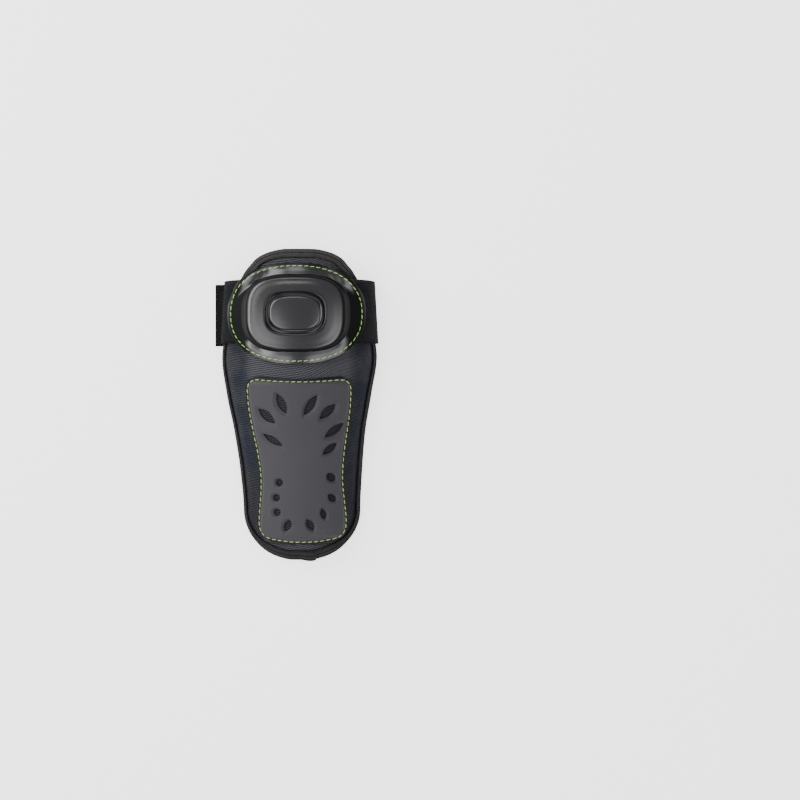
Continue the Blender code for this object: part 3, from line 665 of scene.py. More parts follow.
def at_rim(share, depth, above):
    """The points at this depth along the surface from the rim and this distance in front of it."""
    rim, inward = rim_frame(share)
    ahead = rim + inward * 0.001
    slope = (base_height(ahead[:, 0], ahead[:, 1]) - base_height(rim[:, 0], rim[:, 1])) / 0.001
    plan = rim + inward * (depth / np.sqrt(1 + slope**2))[:, None]
    return over_base(plan[:, 0], plan[:, 1], above)


def front_share(place):
    """0 where the front lip starts and 1 at its sewn edge."""
    return np.clip((place - 1) * TAPE_STEPS / LIP_STEPS + 1, 0.0, 1.0)


def tape_fold(place, front_width, back_width, outward):
    """The folded tape's (depth, above) for place 0 at the back lip to 1 at the front lip."""
    behind = -(LINING_THICKNESS + GAP + TAPE_CLEARANCE + outward)
    before = PAD_EDGE_THICKNESS + TAPE_SEAT + outward
    centre, reach = (before + behind) / 2, GAP + TAPE_BULGE + outward
    back_end, front_start = LIP_STEPS / TAPE_STEPS, 1 - LIP_STEPS / TAPE_STEPS
    turn = np.clip((place - back_end) / (front_start - back_end), 0.0, 1.0) * math.pi
    depth = -TAPE_CLEARANCE - (reach - TAPE_CLEARANCE) * np.sin(turn)
    above = centre - (before - centre) * np.cos(turn)
    back_lip = np.clip(1 - place / back_end, 0.0, 1.0)
    front_lip = front_share(place)
    depth = np.where(place < back_end, back_width * back_lip - TAPE_CLEARANCE * (1 - back_lip), depth)
    front_depth = front_width * front_lip - TAPE_CLEARANCE * (1 - front_lip)
    depth = np.where(place > front_start, front_depth, depth)
    above = np.where(place < back_end, behind, above)
    above = np.where(place > front_start, taper(np.maximum(front_depth, 0)) + TAPE_SEAT + outward, above)
    return depth, above


def tape_point(u, v):
    share, place = (u + 1) / 2, (1 - v) / 2
    rim_y = rim_frame(share)[0][:, 1]
    low, top = bottom_tape(rim_y), top_tape(rim_y)
    around = share * SCALLOPS * 2 * math.pi
    scallop = SCALLOP_DEPTH * np.sin(around) * (0.4 + top)
    front = TAPE_FRONT_WIDTH + TAPE_BOTTOM_EXTRA * low + TAPE_TOP_EXTRA * top
    depth, above = tape_fold(place, front, TAPE_BACK_WIDTH + scallop, 0.0)
    lip = front_share(place)
    sunk = np.exp(-(((lip - SEAM_SHARE) / 0.10) ** 2)) * SEAM_SINK * (0.4 + 0.6 * np.maximum(top, low))
    pucker = TAPE_PUCKER * np.sin(around * 1.3) * smoothstep(lip * 2)
    roll = BOTTOM_ROLL * low * smoothstep((place - 0.3) / 0.3) + TOP_ROLL * top * np.sin(math.pi * lip)
    return at_rim(share, depth, above + pucker + roll - sunk)


def tape_cloth_map(u, v):
    return (u + 1) / 2 * TAPE_MAP_LENGTH, (1 - v) / 2 * TAPE_MAP_WIDTH


def tape_layers(x, y):
    """1 for one layer of tape and 2 where its two ends lap each other, with a square end on the right."""
    from_left = (x - (LAP_CENTRE_X - LAP_LENGTH / 2)) / LAP_RAMP
    to_right = (LAP_CENTRE_X + LAP_OVERHANG - x) / LAP_CUT
    return 1 + smoothstep(from_left) * smoothstep(to_right) * (y < -0.4 * PAD_LENGTH)


tape = grid_piece("edge_tape", TAPE_AROUND, TAPE_STEPS, tape_point, tape_cloth_map, merge=True)
thicken(tape, 2 * TAPE_THICKNESS, -1, tape_layers(*plan_of(tape)) / 2)
_, tape_y = plan_of(tape)
# Painted light: the tape is painted lighter where it lies over the top and bottom ends than on the sloping
# sides.
paint(tape, "lit_at_ends", top_tape(tape_y) + 0.45 * bottom_tape(tape_y))

tape_cloth = Finish("edge_tape_weave", Roughness=0.80, Specular_IOR_Level=0.03, Sheen_Weight=0.02)
around, over, _ = tape_cloth.cloth.parts()
rib = around.sine(0.00110)
yarns = (around + over * 0.5).sine(0.00046) * over.sine(0.00052)
front_start = TAPE_MAP_WIDTH * (1 - LIP_STEPS / TAPE_STEPS)
seam = over.line(front_start + SEAM_SHARE * (TAPE_MAP_WIDTH - front_start), 0.0006)
back_seam = over.line(0.0030, 0.0006)
faded = tape_cloth.place.noise(0.012, 3.0).ramp(0.40, 0.68)
tape_colour = faded.colours((0.0095, 0.0095, 0.0100), (0.0180, 0.0175, 0.0170))
# Painted light: lighter tape over the top and bottom ends.
tape_colour = (tape_cloth.painted("lit_at_ends") * 0.8).colours(tape_colour, (0.0440, 0.0410, 0.0395))
tape_colour = (yarns * 0.4).colours(tape_colour, (0.042, 0.041, 0.040))
tape_cloth.wear(
    tape,
    (seam + back_seam).math("MINIMUM", 1.0).colours(tape_colour, (0.003, 0.003, 0.003)),
    height=rib * 0.3 + yarns * 0.4 - seam - back_seam,
    depth=0.00025,
)
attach(tape, "root")
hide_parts("edge_binding")

# Strap: wide ribbed elastic sewn under the cap's right side. It runs over the rim, turns round it and lies
# flat across the back of the leg, past the left side, where the hook patch holds it to the wing.

STRAP_WIDTH = 0.0535
STRAP_FROM_TOP = 0.0498
STRAP_CENTRE_Y = PAD_LENGTH / 2 - STRAP_FROM_TOP
STRAP_THICKNESS = 0.0015
STRAP_ANCHOR_X = 0.0390
STRAP_LEAVE_X = 0.0545
STRAP_LEAVE_INSET = 0.0075
STRAP_LEAVE_LEAST = 0.0020
STRAP_LEAN = 0.0030
STRAP_TANGENT = 0.45
STRAP_SEAT = 0.0010
STRAP_FOLD_HEIGHT = 0.0098
STRAP_FOLD_REACH = 0.0075
STRAP_TAB_REACH = 0.0738
STRAP_DROP = 0.0020
STRAP_ON_PAD, STRAP_SPAN, STRAP_FOLD, STRAP_BACK = 12, 28, 16, 64
STRAP_STEPS = STRAP_ON_PAD + STRAP_SPAN + STRAP_FOLD + STRAP_BACK
STRAP_ROWS = 44
STRAP_MAP_LENGTH = 0.236


def tape_side(y, side):
    """How far out the edge tape reaches at y, to the right for side 1 and to the left for side -1."""
    rim_x = middle(y) + side * (edge_half_width(y) + TAPE_CLEARANCE)
    return side * over_base(rim_x, y, PAD_EDGE_THICKNESS + TAPE_SEAT + TAPE_THICKNESS)[..., 0]


def strap_route(y, side, thickness, back_height, end_x):
    """The strap's middle line for one thread at y: distances to this side, and heights."""
    half = thickness / 2
    lower_edge = STRAP_CENTRE_Y - STRAP_WIDTH / 2
    lean = STRAP_LEAN * (y - lower_edge) / STRAP_WIDTH
    fold_x = max(tape_side(lower_edge, side) - lean, tape_side(y, side)) + 2 * GAP + half
    fold_z = floor + STRAP_FOLD_HEIGHT
    rim_x = side * middle(y) + edge_half_width(y)
    leave_x = max(min(STRAP_LEAVE_X, rim_x - STRAP_LEAVE_INSET), STRAP_ANCHOR_X + STRAP_LEAVE_LEAST)

    x = np.linspace(STRAP_ANCHOR_X, leave_x, STRAP_ON_PAD + 1)
    plan_y = np.full_like(x, y)
    z = on_pad(side * x, plan_y, GAP + half + over_tape(side * x, plan_y))[:, 2]
    slope = (z[-1] - z[-2]) / (x[-1] - x[-2])
    reach = (fold_x - leave_x) * STRAP_TANGENT
    handles = np.array(
        [
            (leave_x, z[-1]),
            (leave_x + reach, z[-1] + reach * slope),
            (fold_x, fold_z + (z[-1] - fold_z) * STRAP_TANGENT),
            (fold_x, fold_z),
        ]
    )
    t = np.linspace(0, 1, STRAP_SPAN + 1)[1:, None]
    weights = np.hstack([(1 - t) ** 3, 3 * t * (1 - t) ** 2, 3 * t * t * (1 - t), t**3])
    span = weights @ handles
    turn = math.pi / 2 * np.linspace(0, 1, STRAP_FOLD + 1)[1:]
    back_z = back_height + half
    fold = np.column_stack(
        [fold_x - STRAP_FOLD_REACH * (1 - np.cos(turn)), fold_z - (fold_z - back_z) * np.sin(turn)]
    )
    back_x = np.linspace(fold_x - STRAP_FOLD_REACH, end_x, STRAP_BACK + 1)[1:]
    back = np.column_stack([back_x, np.full_like(back_x, back_z)])
    return np.vstack([np.column_stack([x, z]), span, fold, back])


def thread_points(u, v, side, thickness, back_height, end_x):
    """The points of an elastic's threads for u and v, with the index of each along its thread."""
    index = np.rint((u + 1) / 2 * STRAP_STEPS).astype(int)
    x, z = np.empty_like(u), np.empty_like(u)
    for thread in np.unique(np.round(v, 4)):
        here = np.abs(v - thread) < 0.0002
        y = STRAP_CENTRE_Y + thread * STRAP_WIDTH / 2
        route = strap_route(y, side, thickness, back_height, end_x)
        x[here], z[here] = route[index[here]].T
    return x, STRAP_CENTRE_Y + v * STRAP_WIDTH / 2, z, index


def strap_point(u, v):
    x, y, z, index = thread_points(u, v, 1, STRAP_THICKNESS, floor, -STRAP_TAB_REACH)
    on_back = np.maximum(index - (STRAP_STEPS - STRAP_BACK), 0) / STRAP_BACK
    return np.column_stack([x, y - STRAP_DROP * on_back, z])


def strap_cloth(u, v):
    return (u + 1) / 2 * STRAP_MAP_LENGTH, v * STRAP_WIDTH / 2


strap = grid_piece("back_strap", STRAP_STEPS, STRAP_ROWS, strap_point, strap_cloth)
thicken(strap, STRAP_THICKNESS, 0)


def elastic_finish(name, piece, dark, light, shine):
    """Ribbed elastic: fine cords along it, crossed by yarns, with a plain selvedge at both edges."""
    elastic = Finish(name, Roughness=0.78, Specular_IOR_Level=0.03)
    along, beside, _ = elastic.cloth.parts()
    selvedge = beside.math("ABSOLUTE").ramp(STRAP_WIDTH / 2 - 0.0022, STRAP_WIDTH / 2 - 0.0016)
    cords = beside.sine(0.00105) * (1 - selvedge)
    yarns = (along + beside * 0.3).sine(0.00060)
    faded = elastic.place.noise(0.016, 3.0).ramp(0.38, 0.70)
    colour = (faded * 0.7).colours(dark, light)
    colour = (yarns * cords * 0.7).colours(colour, shine)
    elastic.wear(piece, colour, height=cords * 0.7 + yarns * 0.4, depth=0.00022)


elastic_finish(
    "ribbed_elastic",
    strap,
    dark=(0.0080, 0.0078, 0.0092),
    light=(0.0135, 0.0132, 0.0150),
    shine=(0.034, 0.033, 0.036),
)
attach(strap, "root")
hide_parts("elastic_strap")

# Wing: a short piece of elastic sewn under the cap's left side, folded behind the rim, with rounded corners.
# The hook patch on the strap's end grips its back.

HOOK_THICKNESS = 0.0008
WING_THICKNESS = 0.0015
WING_REACH = 0.0640
WING_CORNER = 0.0120
WING_END_X = PAD_WIDTH / 2 - WING_REACH


def wing_point(u, v):
    back = floor + STRAP_THICKNESS + GAP + HOOK_THICKNESS + GAP
    x, y, z, _ = thread_points(u, v, -1, WING_THICKNESS, back, WING_END_X)
    to_end = np.where(z < back + WING_THICKNESS, np.maximum(WING_CORNER - (x - WING_END_X), 0.0), 0.0)
    narrow = WING_CORNER - np.sqrt(np.maximum(WING_CORNER**2 - to_end**2, 0.0))
    return np.column_stack([-x, y - v * np.minimum(narrow, WING_CORNER * 0.8), z])


wing = grid_piece("strap_wing_elastic", STRAP_STEPS, STRAP_ROWS, wing_point, strap_cloth)
wing.data.flip_normals()
thicken(wing, WING_THICKNESS, 0)
elastic_finish(
    "wing_elastic",
    wing,
    dark=(0.0068, 0.0074, 0.0086),
    light=(0.0105, 0.0113, 0.0128),
    shine=(0.026, 0.028, 0.031),
)
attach(wing, "root")
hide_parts("strap_wing")

# Hook patch: moulded nylon hooks on a stiff woven backing, sewn on the strap's end.

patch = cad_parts["hook_patch"]
hooks = Finish("nylon_hooks", Roughness=0.85, Specular_IOR_Level=0.15)
x, y, _ = hooks.place.parts()
hook_tips = x.sine(0.0013) * y.sine(0.0016)
hook_colour = hook_tips.colours((0.008, 0.008, 0.008), (0.035, 0.035, 0.035))
hooks.wear(patch, hook_colour, height=hook_tips, depth=0.0003)

# Knee cap: a glossy moulded sheet with a raised plateau and a ringed button in its middle, sewn to the pad
# through its flat flange. A groove runs along the plateau's upper and lower side.

CAP_SHEET = 0.0022
CAP_STEP = 0.0032
CAP_CROWN = 0.0014
CAP_SIDE_RADIUS = 0.2700
CAP_RELIEF = 0.0010
CAP_LEAD = 0.0120
PLATEAU_SHARE = 0.695
CAP_AROUND, CAP_RING_COUNT = 260, 120
CAP_SPREAD, CAP_SMOOTHING = 2, 80
CAP_UPRIGHT, CAP_UPRIGHT_BLEND = 0.88, 0.08
SEAT_END_X = 0.0640
SEAT_THREADS, SEAT_REACHES = 31, 60

# half_x and half_y are shares of half of CAP_LENGTH and CAP_HEIGHT, and square is the exponent of the
# ring's rounded outline. body is 0 where it lies on the pad and 1 on the plateau. relief is a share of
# CAP_RELIEF all round, and groove where the ring faces up or down the leg.
Ring = namedtuple("Ring", "half_x half_y square body relief groove")
CAP_RINGS = (
    Ring(0.000, 0.000, 2.00, 1.00, 0.6, 0.0),
    Ring(0.180, 0.155, 2.60, 1.00, 0.6, 0.0),
    Ring(0.350, 0.302, 2.85, 1.00, 0.4, 0.0),
    Ring(0.377, 0.337, 2.85, 1.00, -0.4, 0.0),
    Ring(0.405, 0.377, 2.80, 1.00, 0.9, 0.0),
    Ring(0.430, 0.415, 2.80, 1.00, -0.8, 0.0),
    Ring(0.460, 0.450, 2.85, 1.00, 0.2, 0.0),
    Ring(0.550, 0.550, 3.00, 1.00, 0.2, 0.0),
    Ring(0.655, 0.645, 3.30, 1.00, 0.0, 0.0),
    Ring(0.695, 0.690, 3.20, 0.93, 0.0, 0.2),
    Ring(0.735, 0.725, 3.00, 0.45, 0.0, -0.6),
    Ring(0.790, 0.775, 2.70, 0.06, 0.0, -0.2),
    Ring(0.900, 0.885, 2.35, 0.00, 0.0, 0.3),
    Ring(1.000, 1.000, CAP_SQUARE, 0.00, 0.0, 0.0),
)


def strap_tops(side):
    """The heights of the strap's middle line on a grid of threads and distances from the middle."""
    edges = (STRAP_CENTRE_Y - STRAP_WIDTH / 2, STRAP_CENTRE_Y + STRAP_WIDTH / 2)
    threads = np.linspace(*edges, SEAT_THREADS)
    reaches = np.linspace(STRAP_ANCHOR_X, SEAT_END_X, SEAT_REACHES)
    heights = []
    for y in threads:
        route = strap_route(y, side, STRAP_THICKNESS, floor, 0.0)[: STRAP_ON_PAD + STRAP_SPAN + 1]
        heights.append(np.interp(reaches, route[:, 0], route[:, 1]))
    return threads, reaches, np.array(heights)


TOPS = {1: strap_tops(1), -1: strap_tops(-1)}


def strap_height(reach, y, side):
    """The height of the strap's middle line at a distance from the middle, read between the threads."""
    threads, reaches, heights = TOPS[side]
    row = np.clip((y - threads[0]) / (threads[1] - threads[0]), 0, len(threads) - 1.001)
    column = np.clip((reach - reaches[0]) / (reaches[1] - reaches[0]), 0, len(reaches) - 1.001)
    i, j = row.astype(int), column.astype(int)
    a, b = row - i, column - j
    low = heights[i, j] * (1 - b) + heights[i, j + 1] * b
    high = heights[i + 1, j] * (1 - b) + heights[i + 1, j + 1] * b
    return low * (1 - a) + high * a


def cap_seat(x, y):
    """The height of the cap's underside on the pad, lifted at both sides by the strap's ends."""
    low = on_pad(x, y, GAP + over_tape(x, y))[:, 2]
    lifted = low.copy()
    for side in (1, -1):
        off_strap = np.abs(y - STRAP_CENTRE_Y) - STRAP_WIDTH / 2
        share = smoothstep((side * x - STRAP_ANCHOR_X + CAP_LEAD) / (0.7 * CAP_LEAD))
        share = share * smoothstep((1.3 * CAP_LEAD - off_strap) / CAP_LEAD)
        step = 0.001
        before, here, after = (strap_height(side * x + move, y, side) for move in (-step, 0, step))
        steepness = np.hypot(1.0, (after - before) / (2 * step))
        top = np.maximum(np.maximum(before, here), after) + (STRAP_THICKNESS / 2 + STRAP_SEAT) * steepness
        lifted = lifted + np.maximum(top - low, 0.0) * share
    return lifted


def plateau_height(x, y):
    """The underside of the plateau: a line between its lower and upper edge, with a slight crown."""
    reach = PLATEAU_SHARE * CAP_HEIGHT / 2
    share = (y - CAP_CENTRE_Y) / reach
    ends = np.array([CAP_CENTRE_Y - reach, CAP_CENTRE_Y + reach])
    lower, upper = on_pad(np.zeros(2), ends, GAP)[:, 2]
    fall = (x - middle(CAP_CENTRE_Y) - CAP_OFFSET_X) ** 2 / (2 * CAP_SIDE_RADIUS)
    return lower + (upper - lower) * (share + 1) / 2 + CAP_STEP + CAP_CROWN * (1 - share**2) - fall


ring_half_y, ring_square, ring_body, ring_relief, ring_groove = (
    table_curve(CAP_RINGS, column, "half_x") for column in Ring._fields[1:]
)


def evened(heights, columns, ends, spread, smoothing):
    """Heights on a grid of points, spread over this many neighbours and then smoothed this many times.

    ends is "wrap" where the first and the last column meet, and "edge" where they are two edges.
    """
    grid = heights.reshape(-1, columns + 1)
    if ends == "wrap":
        grid = grid[:, :-1]
    for turn in range(spread + smoothing):
        wide = np.pad(np.pad(grid, ((1, 1), (0, 0)), mode="edge"), ((0, 0), (1, 1)), mode=ends)
        beside = [wide[:-2, 1:-1], wide[2:, 1:-1], wide[1:-1, :-2], wide[1:-1, 2:]]
        grid = np.maximum.reduce([grid, *beside]) if turn < spread else (4 * grid + sum(beside)) / 8
    if ends == "wrap":
        grid = np.hstack([grid, grid[:, :1]])
    return grid.ravel()


def cap_point(u, v):
    size = (v + 1) / 2
    angle = -math.pi * u
    square = ring_square(size)
    across, up = np.cos(angle), np.sin(angle)
    x = size * CAP_LENGTH / 2 * np.copysign(np.abs(across) ** (2 / square), across)
    y = ring_half_y(size) * CAP_HEIGHT / 2 * np.copysign(np.abs(up) ** (2 / square), up)
    x = x + middle(CAP_CENTRE_Y) + CAP_OFFSET_X
    y = y + CAP_CENTRE_Y
    plain = on_pad(x, y, GAP)[:, 2]
    low = plain + evened(cap_seat(x, y) - plain, CAP_AROUND, "wrap", CAP_SPREAD, CAP_SMOOTHING)
    high = np.maximum(plateau_height(x, y), low)
    relief = ring_relief(size) + ring_groove(size) * smoothstep(np.abs(up) * 1.6 - 0.5)
    return np.column_stack([x, y, low + (high - low) * ring_body(size) + CAP_RELIEF * relief])


# Shares of the cap's outline, as in the table: the seam, and the two rings of painted shade in the grooves
# round the button
CAP_SEAM_X, CAP_SEAM_Y = 0.977, 0.950
GROOVE_SHADE_RING = (0.430, 0.420, 3.5)
SLOT_SHADE_RING = (0.372, 0.335, 3.6)

cap = grid_piece("moulded_cap", CAP_AROUND, CAP_RING_COUNT, cap_point, merge=True)
thicken(cap, CAP_SHEET, 1)
cap_x, cap_y = plan_of(cap)
upright = np.array([normal.vector[2] for normal in cap.data.vertex_normals])
paint(cap, "facing_up", smoothstep((np.abs(upright) - CAP_UPRIGHT) / CAP_UPRIGHT_BLEND))
paint(cap, "inside_seam", (1 - oval_reach(cap_x, cap_y, CAP_SEAM_X, CAP_SEAM_Y)) * CAP_HEIGHT / 2)
groove = np.exp(-(((oval_reach(cap_x, cap_y, *GROOVE_SHADE_RING) - 1) / 0.070) ** 2))
slot_shade = np.exp(-(((oval_reach(cap_x, cap_y, *SLOT_SHADE_RING) - 1) / 0.030) ** 2))
paint(cap, "groove", np.maximum(groove * 0.8, slot_shade))

gloss = Finish("gloss_shell", Specular_IOR_Level=0.04, Coat_IOR=1.8, Coat_Roughness=0.20)
grain = gloss.place.noise(0.0011, 3.0)
smudge = gloss.place.noise(0.020, 2.0)
groove = gloss.painted("groove")
inside_seam = gloss.painted("inside_seam")
shell_colour = smudge.colours((0.0070, 0.0068, 0.0074), (0.0110, 0.0105, 0.0115))
# Painted shade: the two grooves round the button are painted near black.
shell_colour = groove.colours(shell_colour, (0.002, 0.002, 0.002))
# Painted reflection: a dark green band beside the stitches stands in for the green thread reflected in the
# gloss.
shell_colour = (inside_seam.line(0.0003, 0.0026) * 0.9).colours(shell_colour, (0.004, 0.014, 0.002))
gloss.wear(
    cap,
    shell_colour,
    roughness=0.30 + smudge * 0.12 + grain * 0.02,
    coat=gloss.painted("facing_up") * (0.98 - groove * 0.7),
    height=grain,
    depth=0.00001,
)
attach(cap, "root")
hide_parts("knee_cap")

# Shin panel: a matt moulded sheet sewn round its edge, thin along the seam and thicker inside it, with leaf
# and oval openings whose rims are rounded. The mesh shows through them.

PANEL_THICKNESS = 0.0024
PANEL_TOP_CORNER = 0.0095
PANEL_BOTTOM_CORNER = 0.0135
PANEL_TOP_DIP = 0.0022
PANEL_BOTTOM_BOW = 0.0023
PANEL_SEAT = 0.0004
LEAF_LENGTH = 0.0190
LEAF_WIDTH = 0.0070
PANEL_SINK = 0.0003
PANEL_STEP = 0.0009
PANEL_STEP_START, PANEL_STEP_END = 0.0026, 0.0056
LEAF_RIM_DROP = 0.0014
LEAF_RIM_SHARE = 0.36
PANEL_SEAM_INSET = 0.0015
PANEL_COLUMNS, PANEL_ROWS = 120, 190
PANEL_SMOOTHING = 60
LEAF_SIDES = 40
CUTTER_DEPTH = 0.06

# across and along are shares of half of PANEL_WIDTH and of PANEL_LENGTH, length and width are shares of
# LEAF_LENGTH and LEAF_WIDTH, angle is in degrees from +X, and point is 1 for a leaf and 0 for an oval.
Leaf = namedtuple("Leaf", "across along length width angle point")
PANEL_LEAVES = (
    Leaf(-0.316, 0.842, 0.97, 1.03, 115, 0.9),
    Leaf(-0.601, 0.767, 1.00, 1.06, 139, 0.9),
    Leaf(-0.501, 0.620, 1.00, 0.81, 149, 0.9),
    Leaf(0.214, 0.832, 1.03, 0.94, 57, 0.9),
    Leaf(0.521, 0.794, 0.94, 1.03, 44, 0.9),
    Leaf(0.632, 0.680, 1.03, 0.96, 38, 0.9),
    Leaf(0.538, 0.566, 0.79, 0.86, 41, 0.9),
    Leaf(-0.410, 0.360, 0.32, 0.86, 0, 0.0),
    Leaf(-0.471, 0.267, 0.32, 0.86, 0, 0.0),
    Leaf(-0.462, 0.177, 0.32, 0.86, 0, 0.0),
    Leaf(-0.270, 0.096, 0.55, 0.89, 65, 0.5),
    Leaf(0.153, 0.100, 0.56, 0.83, 118, 0.5),
    Leaf(0.392, 0.168, 0.49, 0.71, 105, 0.5),
    Leaf(0.549, 0.265, 0.43, 0.86, 133, 0.3),
    Leaf(0.540, 0.391, 0.45, 0.99, 134, 0.3),
)


def panel_plan(u, v):
    """The plan position of a panel point for u and v from -1 to 1, with rounded corners and bowed ends."""
    from_bottom = (1 + end_spread(v)) / 2 * PANEL_LENGTH
    share = from_bottom / PANEL_LENGTH
    to_end = np.minimum(from_bottom, PANEL_LENGTH - from_bottom)
    corner = np.where(share < 0.5, PANEL_BOTTOM_CORNER, PANEL_TOP_CORNER)
    missing = np.maximum(corner - to_end, 0.0)
    half = panel_half_width(share) - corner + np.sqrt(corner**2 - missing**2)
    bow = (1 - u * u) * (PANEL_TOP_DIP * share**2 + PANEL_BOTTOM_BOW * (1 - share) ** 2)
    y = PANEL_CENTRE_Y - PANEL_LENGTH / 2 + from_bottom - bow
    return middle(y) + PANEL_OFFSET_X + u * half, y


def leaf_centre(leaf):
    y = PANEL_CENTRE_Y + (leaf.along - 0.5) * PANEL_LENGTH
    return middle(y) + PANEL_OFFSET_X + leaf.across * PANEL_WIDTH / 2, y


def leaf_reach(leaf, x, y):
    """1 on a leaf's outline, less inside it and more outside."""
    centre_x, centre_y = leaf_centre(leaf)
    turn = math.radians(leaf.angle)
    along = (x - centre_x) * math.cos(turn) + (y - centre_y) * math.sin(turn)
    beside = (y - centre_y) * math.cos(turn) - (x - centre_x) * math.sin(turn)
    along = along / (leaf.length * LEAF_LENGTH / 2)
    beside = np.abs(beside / (leaf.width * LEAF_WIDTH / 2)) ** (1 / (1 + leaf.point))
    return np.sqrt(along**2 + beside**2)


def surface_of(piece, above=0.2):
    """A finder of the upper face of a piece: x and y to its point and normal there."""
    tree = BVHTree.FromObject(piece, bpy.context.evaluated_depsgraph_get())

    def find(x, y):
        return tree.ray_cast(Vector((x, y, above)), Vector((0, 0, -1)))[:2]

    return find


def panel_point(u, v):
    """The panel's inner face, laid over the faces of the pad and the tape."""
    x, y = panel_plan(u, v)
    finders = [surface_of(pad), surface_of(tape)]
    heights = []
    for spot in zip(x + SHIFT[0], y + SHIFT[1]):
        hits = [hit for hit in (find(*spot) for find in finders) if hit[0] is not None]
        heights.append(max(point.z + PANEL_SEAT / max(normal.z, 0.3) for point, normal in hits) - SHIFT[2])
    return np.column_stack([x, y, evened(np.array(heights), PANEL_COLUMNS, "edge", 0, PANEL_SMOOTHING)])


def panel_thickness(x, y):
    """Thin along the seam, with a step up inside it and a rounded rim at each opening."""
    inside = panel_outline_distance(x, y)
    field = smoothstep((inside - PANEL_STEP_START) / (PANEL_STEP_END - PANEL_STEP_START))
    thickness = PANEL_FULL - PANEL_STEP * (1 - field)
    for leaf in PANEL_LEAVES:
        rim = 1 - smoothstep((leaf_reach(leaf, x, y) - 1.0) / LEAF_RIM_SHARE)
        thickness = thickness - LEAF_RIM_DROP * rim
    return thickness


def panel_outline(long_steps=400, short_steps=200, reach=6):
    """The panel's closed outline in plan and the directions into it."""
    v = np.linspace(-1, 1, long_steps)
    u = np.linspace(1, -1, short_steps)
    sides = ((np.ones_like(v), v), (u, np.ones_like(u)), (-np.ones_like(v), -v), (-u, -np.ones_like(u)))
    outline = np.vstack([np.column_stack(panel_plan(*side)) for side in sides])
    ahead = np.roll(outline, -reach, axis=0) - np.roll(outline, reach, axis=0)
    inward = np.column_stack([-ahead[:, 1], ahead[:, 0]])
    return outline, inward / np.linalg.norm(inward, axis=1)[:, None]


panel_edge, panel_inward = panel_outline()
panel_line = panel_edge + panel_inward * PANEL_SEAM_INSET

PANEL_FULL = PANEL_THICKNESS + PANEL_SINK
panel = grid_piece("moulded_panel", PANEL_COLUMNS, PANEL_ROWS, panel_point)
thicken(panel, PANEL_FULL, 1, panel_thickness(*plan_of(panel)) / PANEL_FULL)


def leaf_cutter():
    """Upright prisms of all the leaves' outlines, tall enough to pass through the panel."""
    shape = bmesh.new()
    for leaf in PANEL_LEAVES:
        made = bmesh.ops.create_cone(
            shape, cap_ends=True, segments=LEAF_SIDES, radius1=1.0, radius2=1.0, depth=CUTTER_DEPTH
        )
        turn = math.radians(leaf.angle)
        centre_x, centre_y = leaf_centre(leaf)
        for vertex in made["verts"]:
            x = vertex.co.x * leaf.length * LEAF_LENGTH / 2
            y = vertex.co.y * abs(vertex.co.y) ** leaf.point * leaf.width * LEAF_WIDTH / 2
            vertex.co.x = centre_x + x * math.cos(turn) - y * math.sin(turn) + SHIFT[0]
            vertex.co.y = centre_y + x * math.sin(turn) + y * math.cos(turn) + SHIFT[1]
            vertex.co.z += CUTTER_DEPTH / 2
    return new_piece("leaf_cutter", shape)


cutter = leaf_cutter()
openings = panel.modifiers.new("openings", "BOOLEAN")
openings.operation = "DIFFERENCE"
openings.object = cutter
apply_modifiers(panel)
bpy.data.objects.remove(cutter)
panel.data.shade_smooth()
panel.data.set_sharp_from_angle(angle=math.radians(50))

edge_tree = line_tree(np.column_stack([panel_edge, np.zeros(len(panel_edge))]))


def inside_panel(x, y):
    """How far a spot in plan lies inside the panel's outline, less than 0 outside it."""
    near, index, distance = edge_tree.find((x, y, 0.0))
    inward = panel_inward[index % len(panel_edge)]
    return math.copysign(distance, (x - near.x) * inward[0] + (y - near.y) * inward[1])


to_edge = np.array([inside_panel(x, y) for x, y in zip(*plan_of(panel))])
paint(panel, "inside_seam", to_edge - PANEL_SEAM_INSET)

rubber = Finish("matt_rubber", Specular_IOR_Level=0.2)
grain = rubber.place.noise(0.0006, 4.0, 0.6)
cloud = rubber.place.noise(0.030, 3.0)
inside_seam = rubber.painted("inside_seam")
rubber_colour = cloud.colours((0.0480, 0.0460, 0.0510), (0.0580, 0.0560, 0.0620))
# Painted shade: the panel's rim outside the seam is painted near black.
rubber_colour = inside_seam.ramp(0.0006, -0.0004).colours(rubber_colour, (0.010, 0.011, 0.010))
# Painted light: a thin green line along the stitches stands in for green light cast by the thread on the
# rubber.
rubber_colour = (inside_seam.line(0.0002, 0.0010) * 0.9).colours(rubber_colour, (0.008, 0.024, 0.004))
rubber.wear(
    panel,
    rubber_colour,
    roughness=0.46 + grain * 0.14,
    height=grain,
    depth=0.00004,
)
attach(panel, "root")
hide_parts("shin_panel")

# Seams: thick pale green thread, sewn in a lockstitch round the cap's flange and the panel's edge.

THREAD = 0.00078
CAP_STITCH, PANEL_STITCH = 0.0051, 0.0052


def closed_seam(points, pitch):
    """Even stations round a closed line in plan, from one stitch to the next."""
    loop = np.vstack([points, points[:1]])
    lengths = np.concatenate([[0.0], np.cumsum(np.linalg.norm(np.diff(loop, axis=0), axis=1))])
    count = round(lengths[-1] / pitch)
    stations = np.linspace(0, lengths[-1], count + 1)
    return np.column_stack([np.interp(stations, lengths, loop[:, axis]) for axis in (0, 1)])


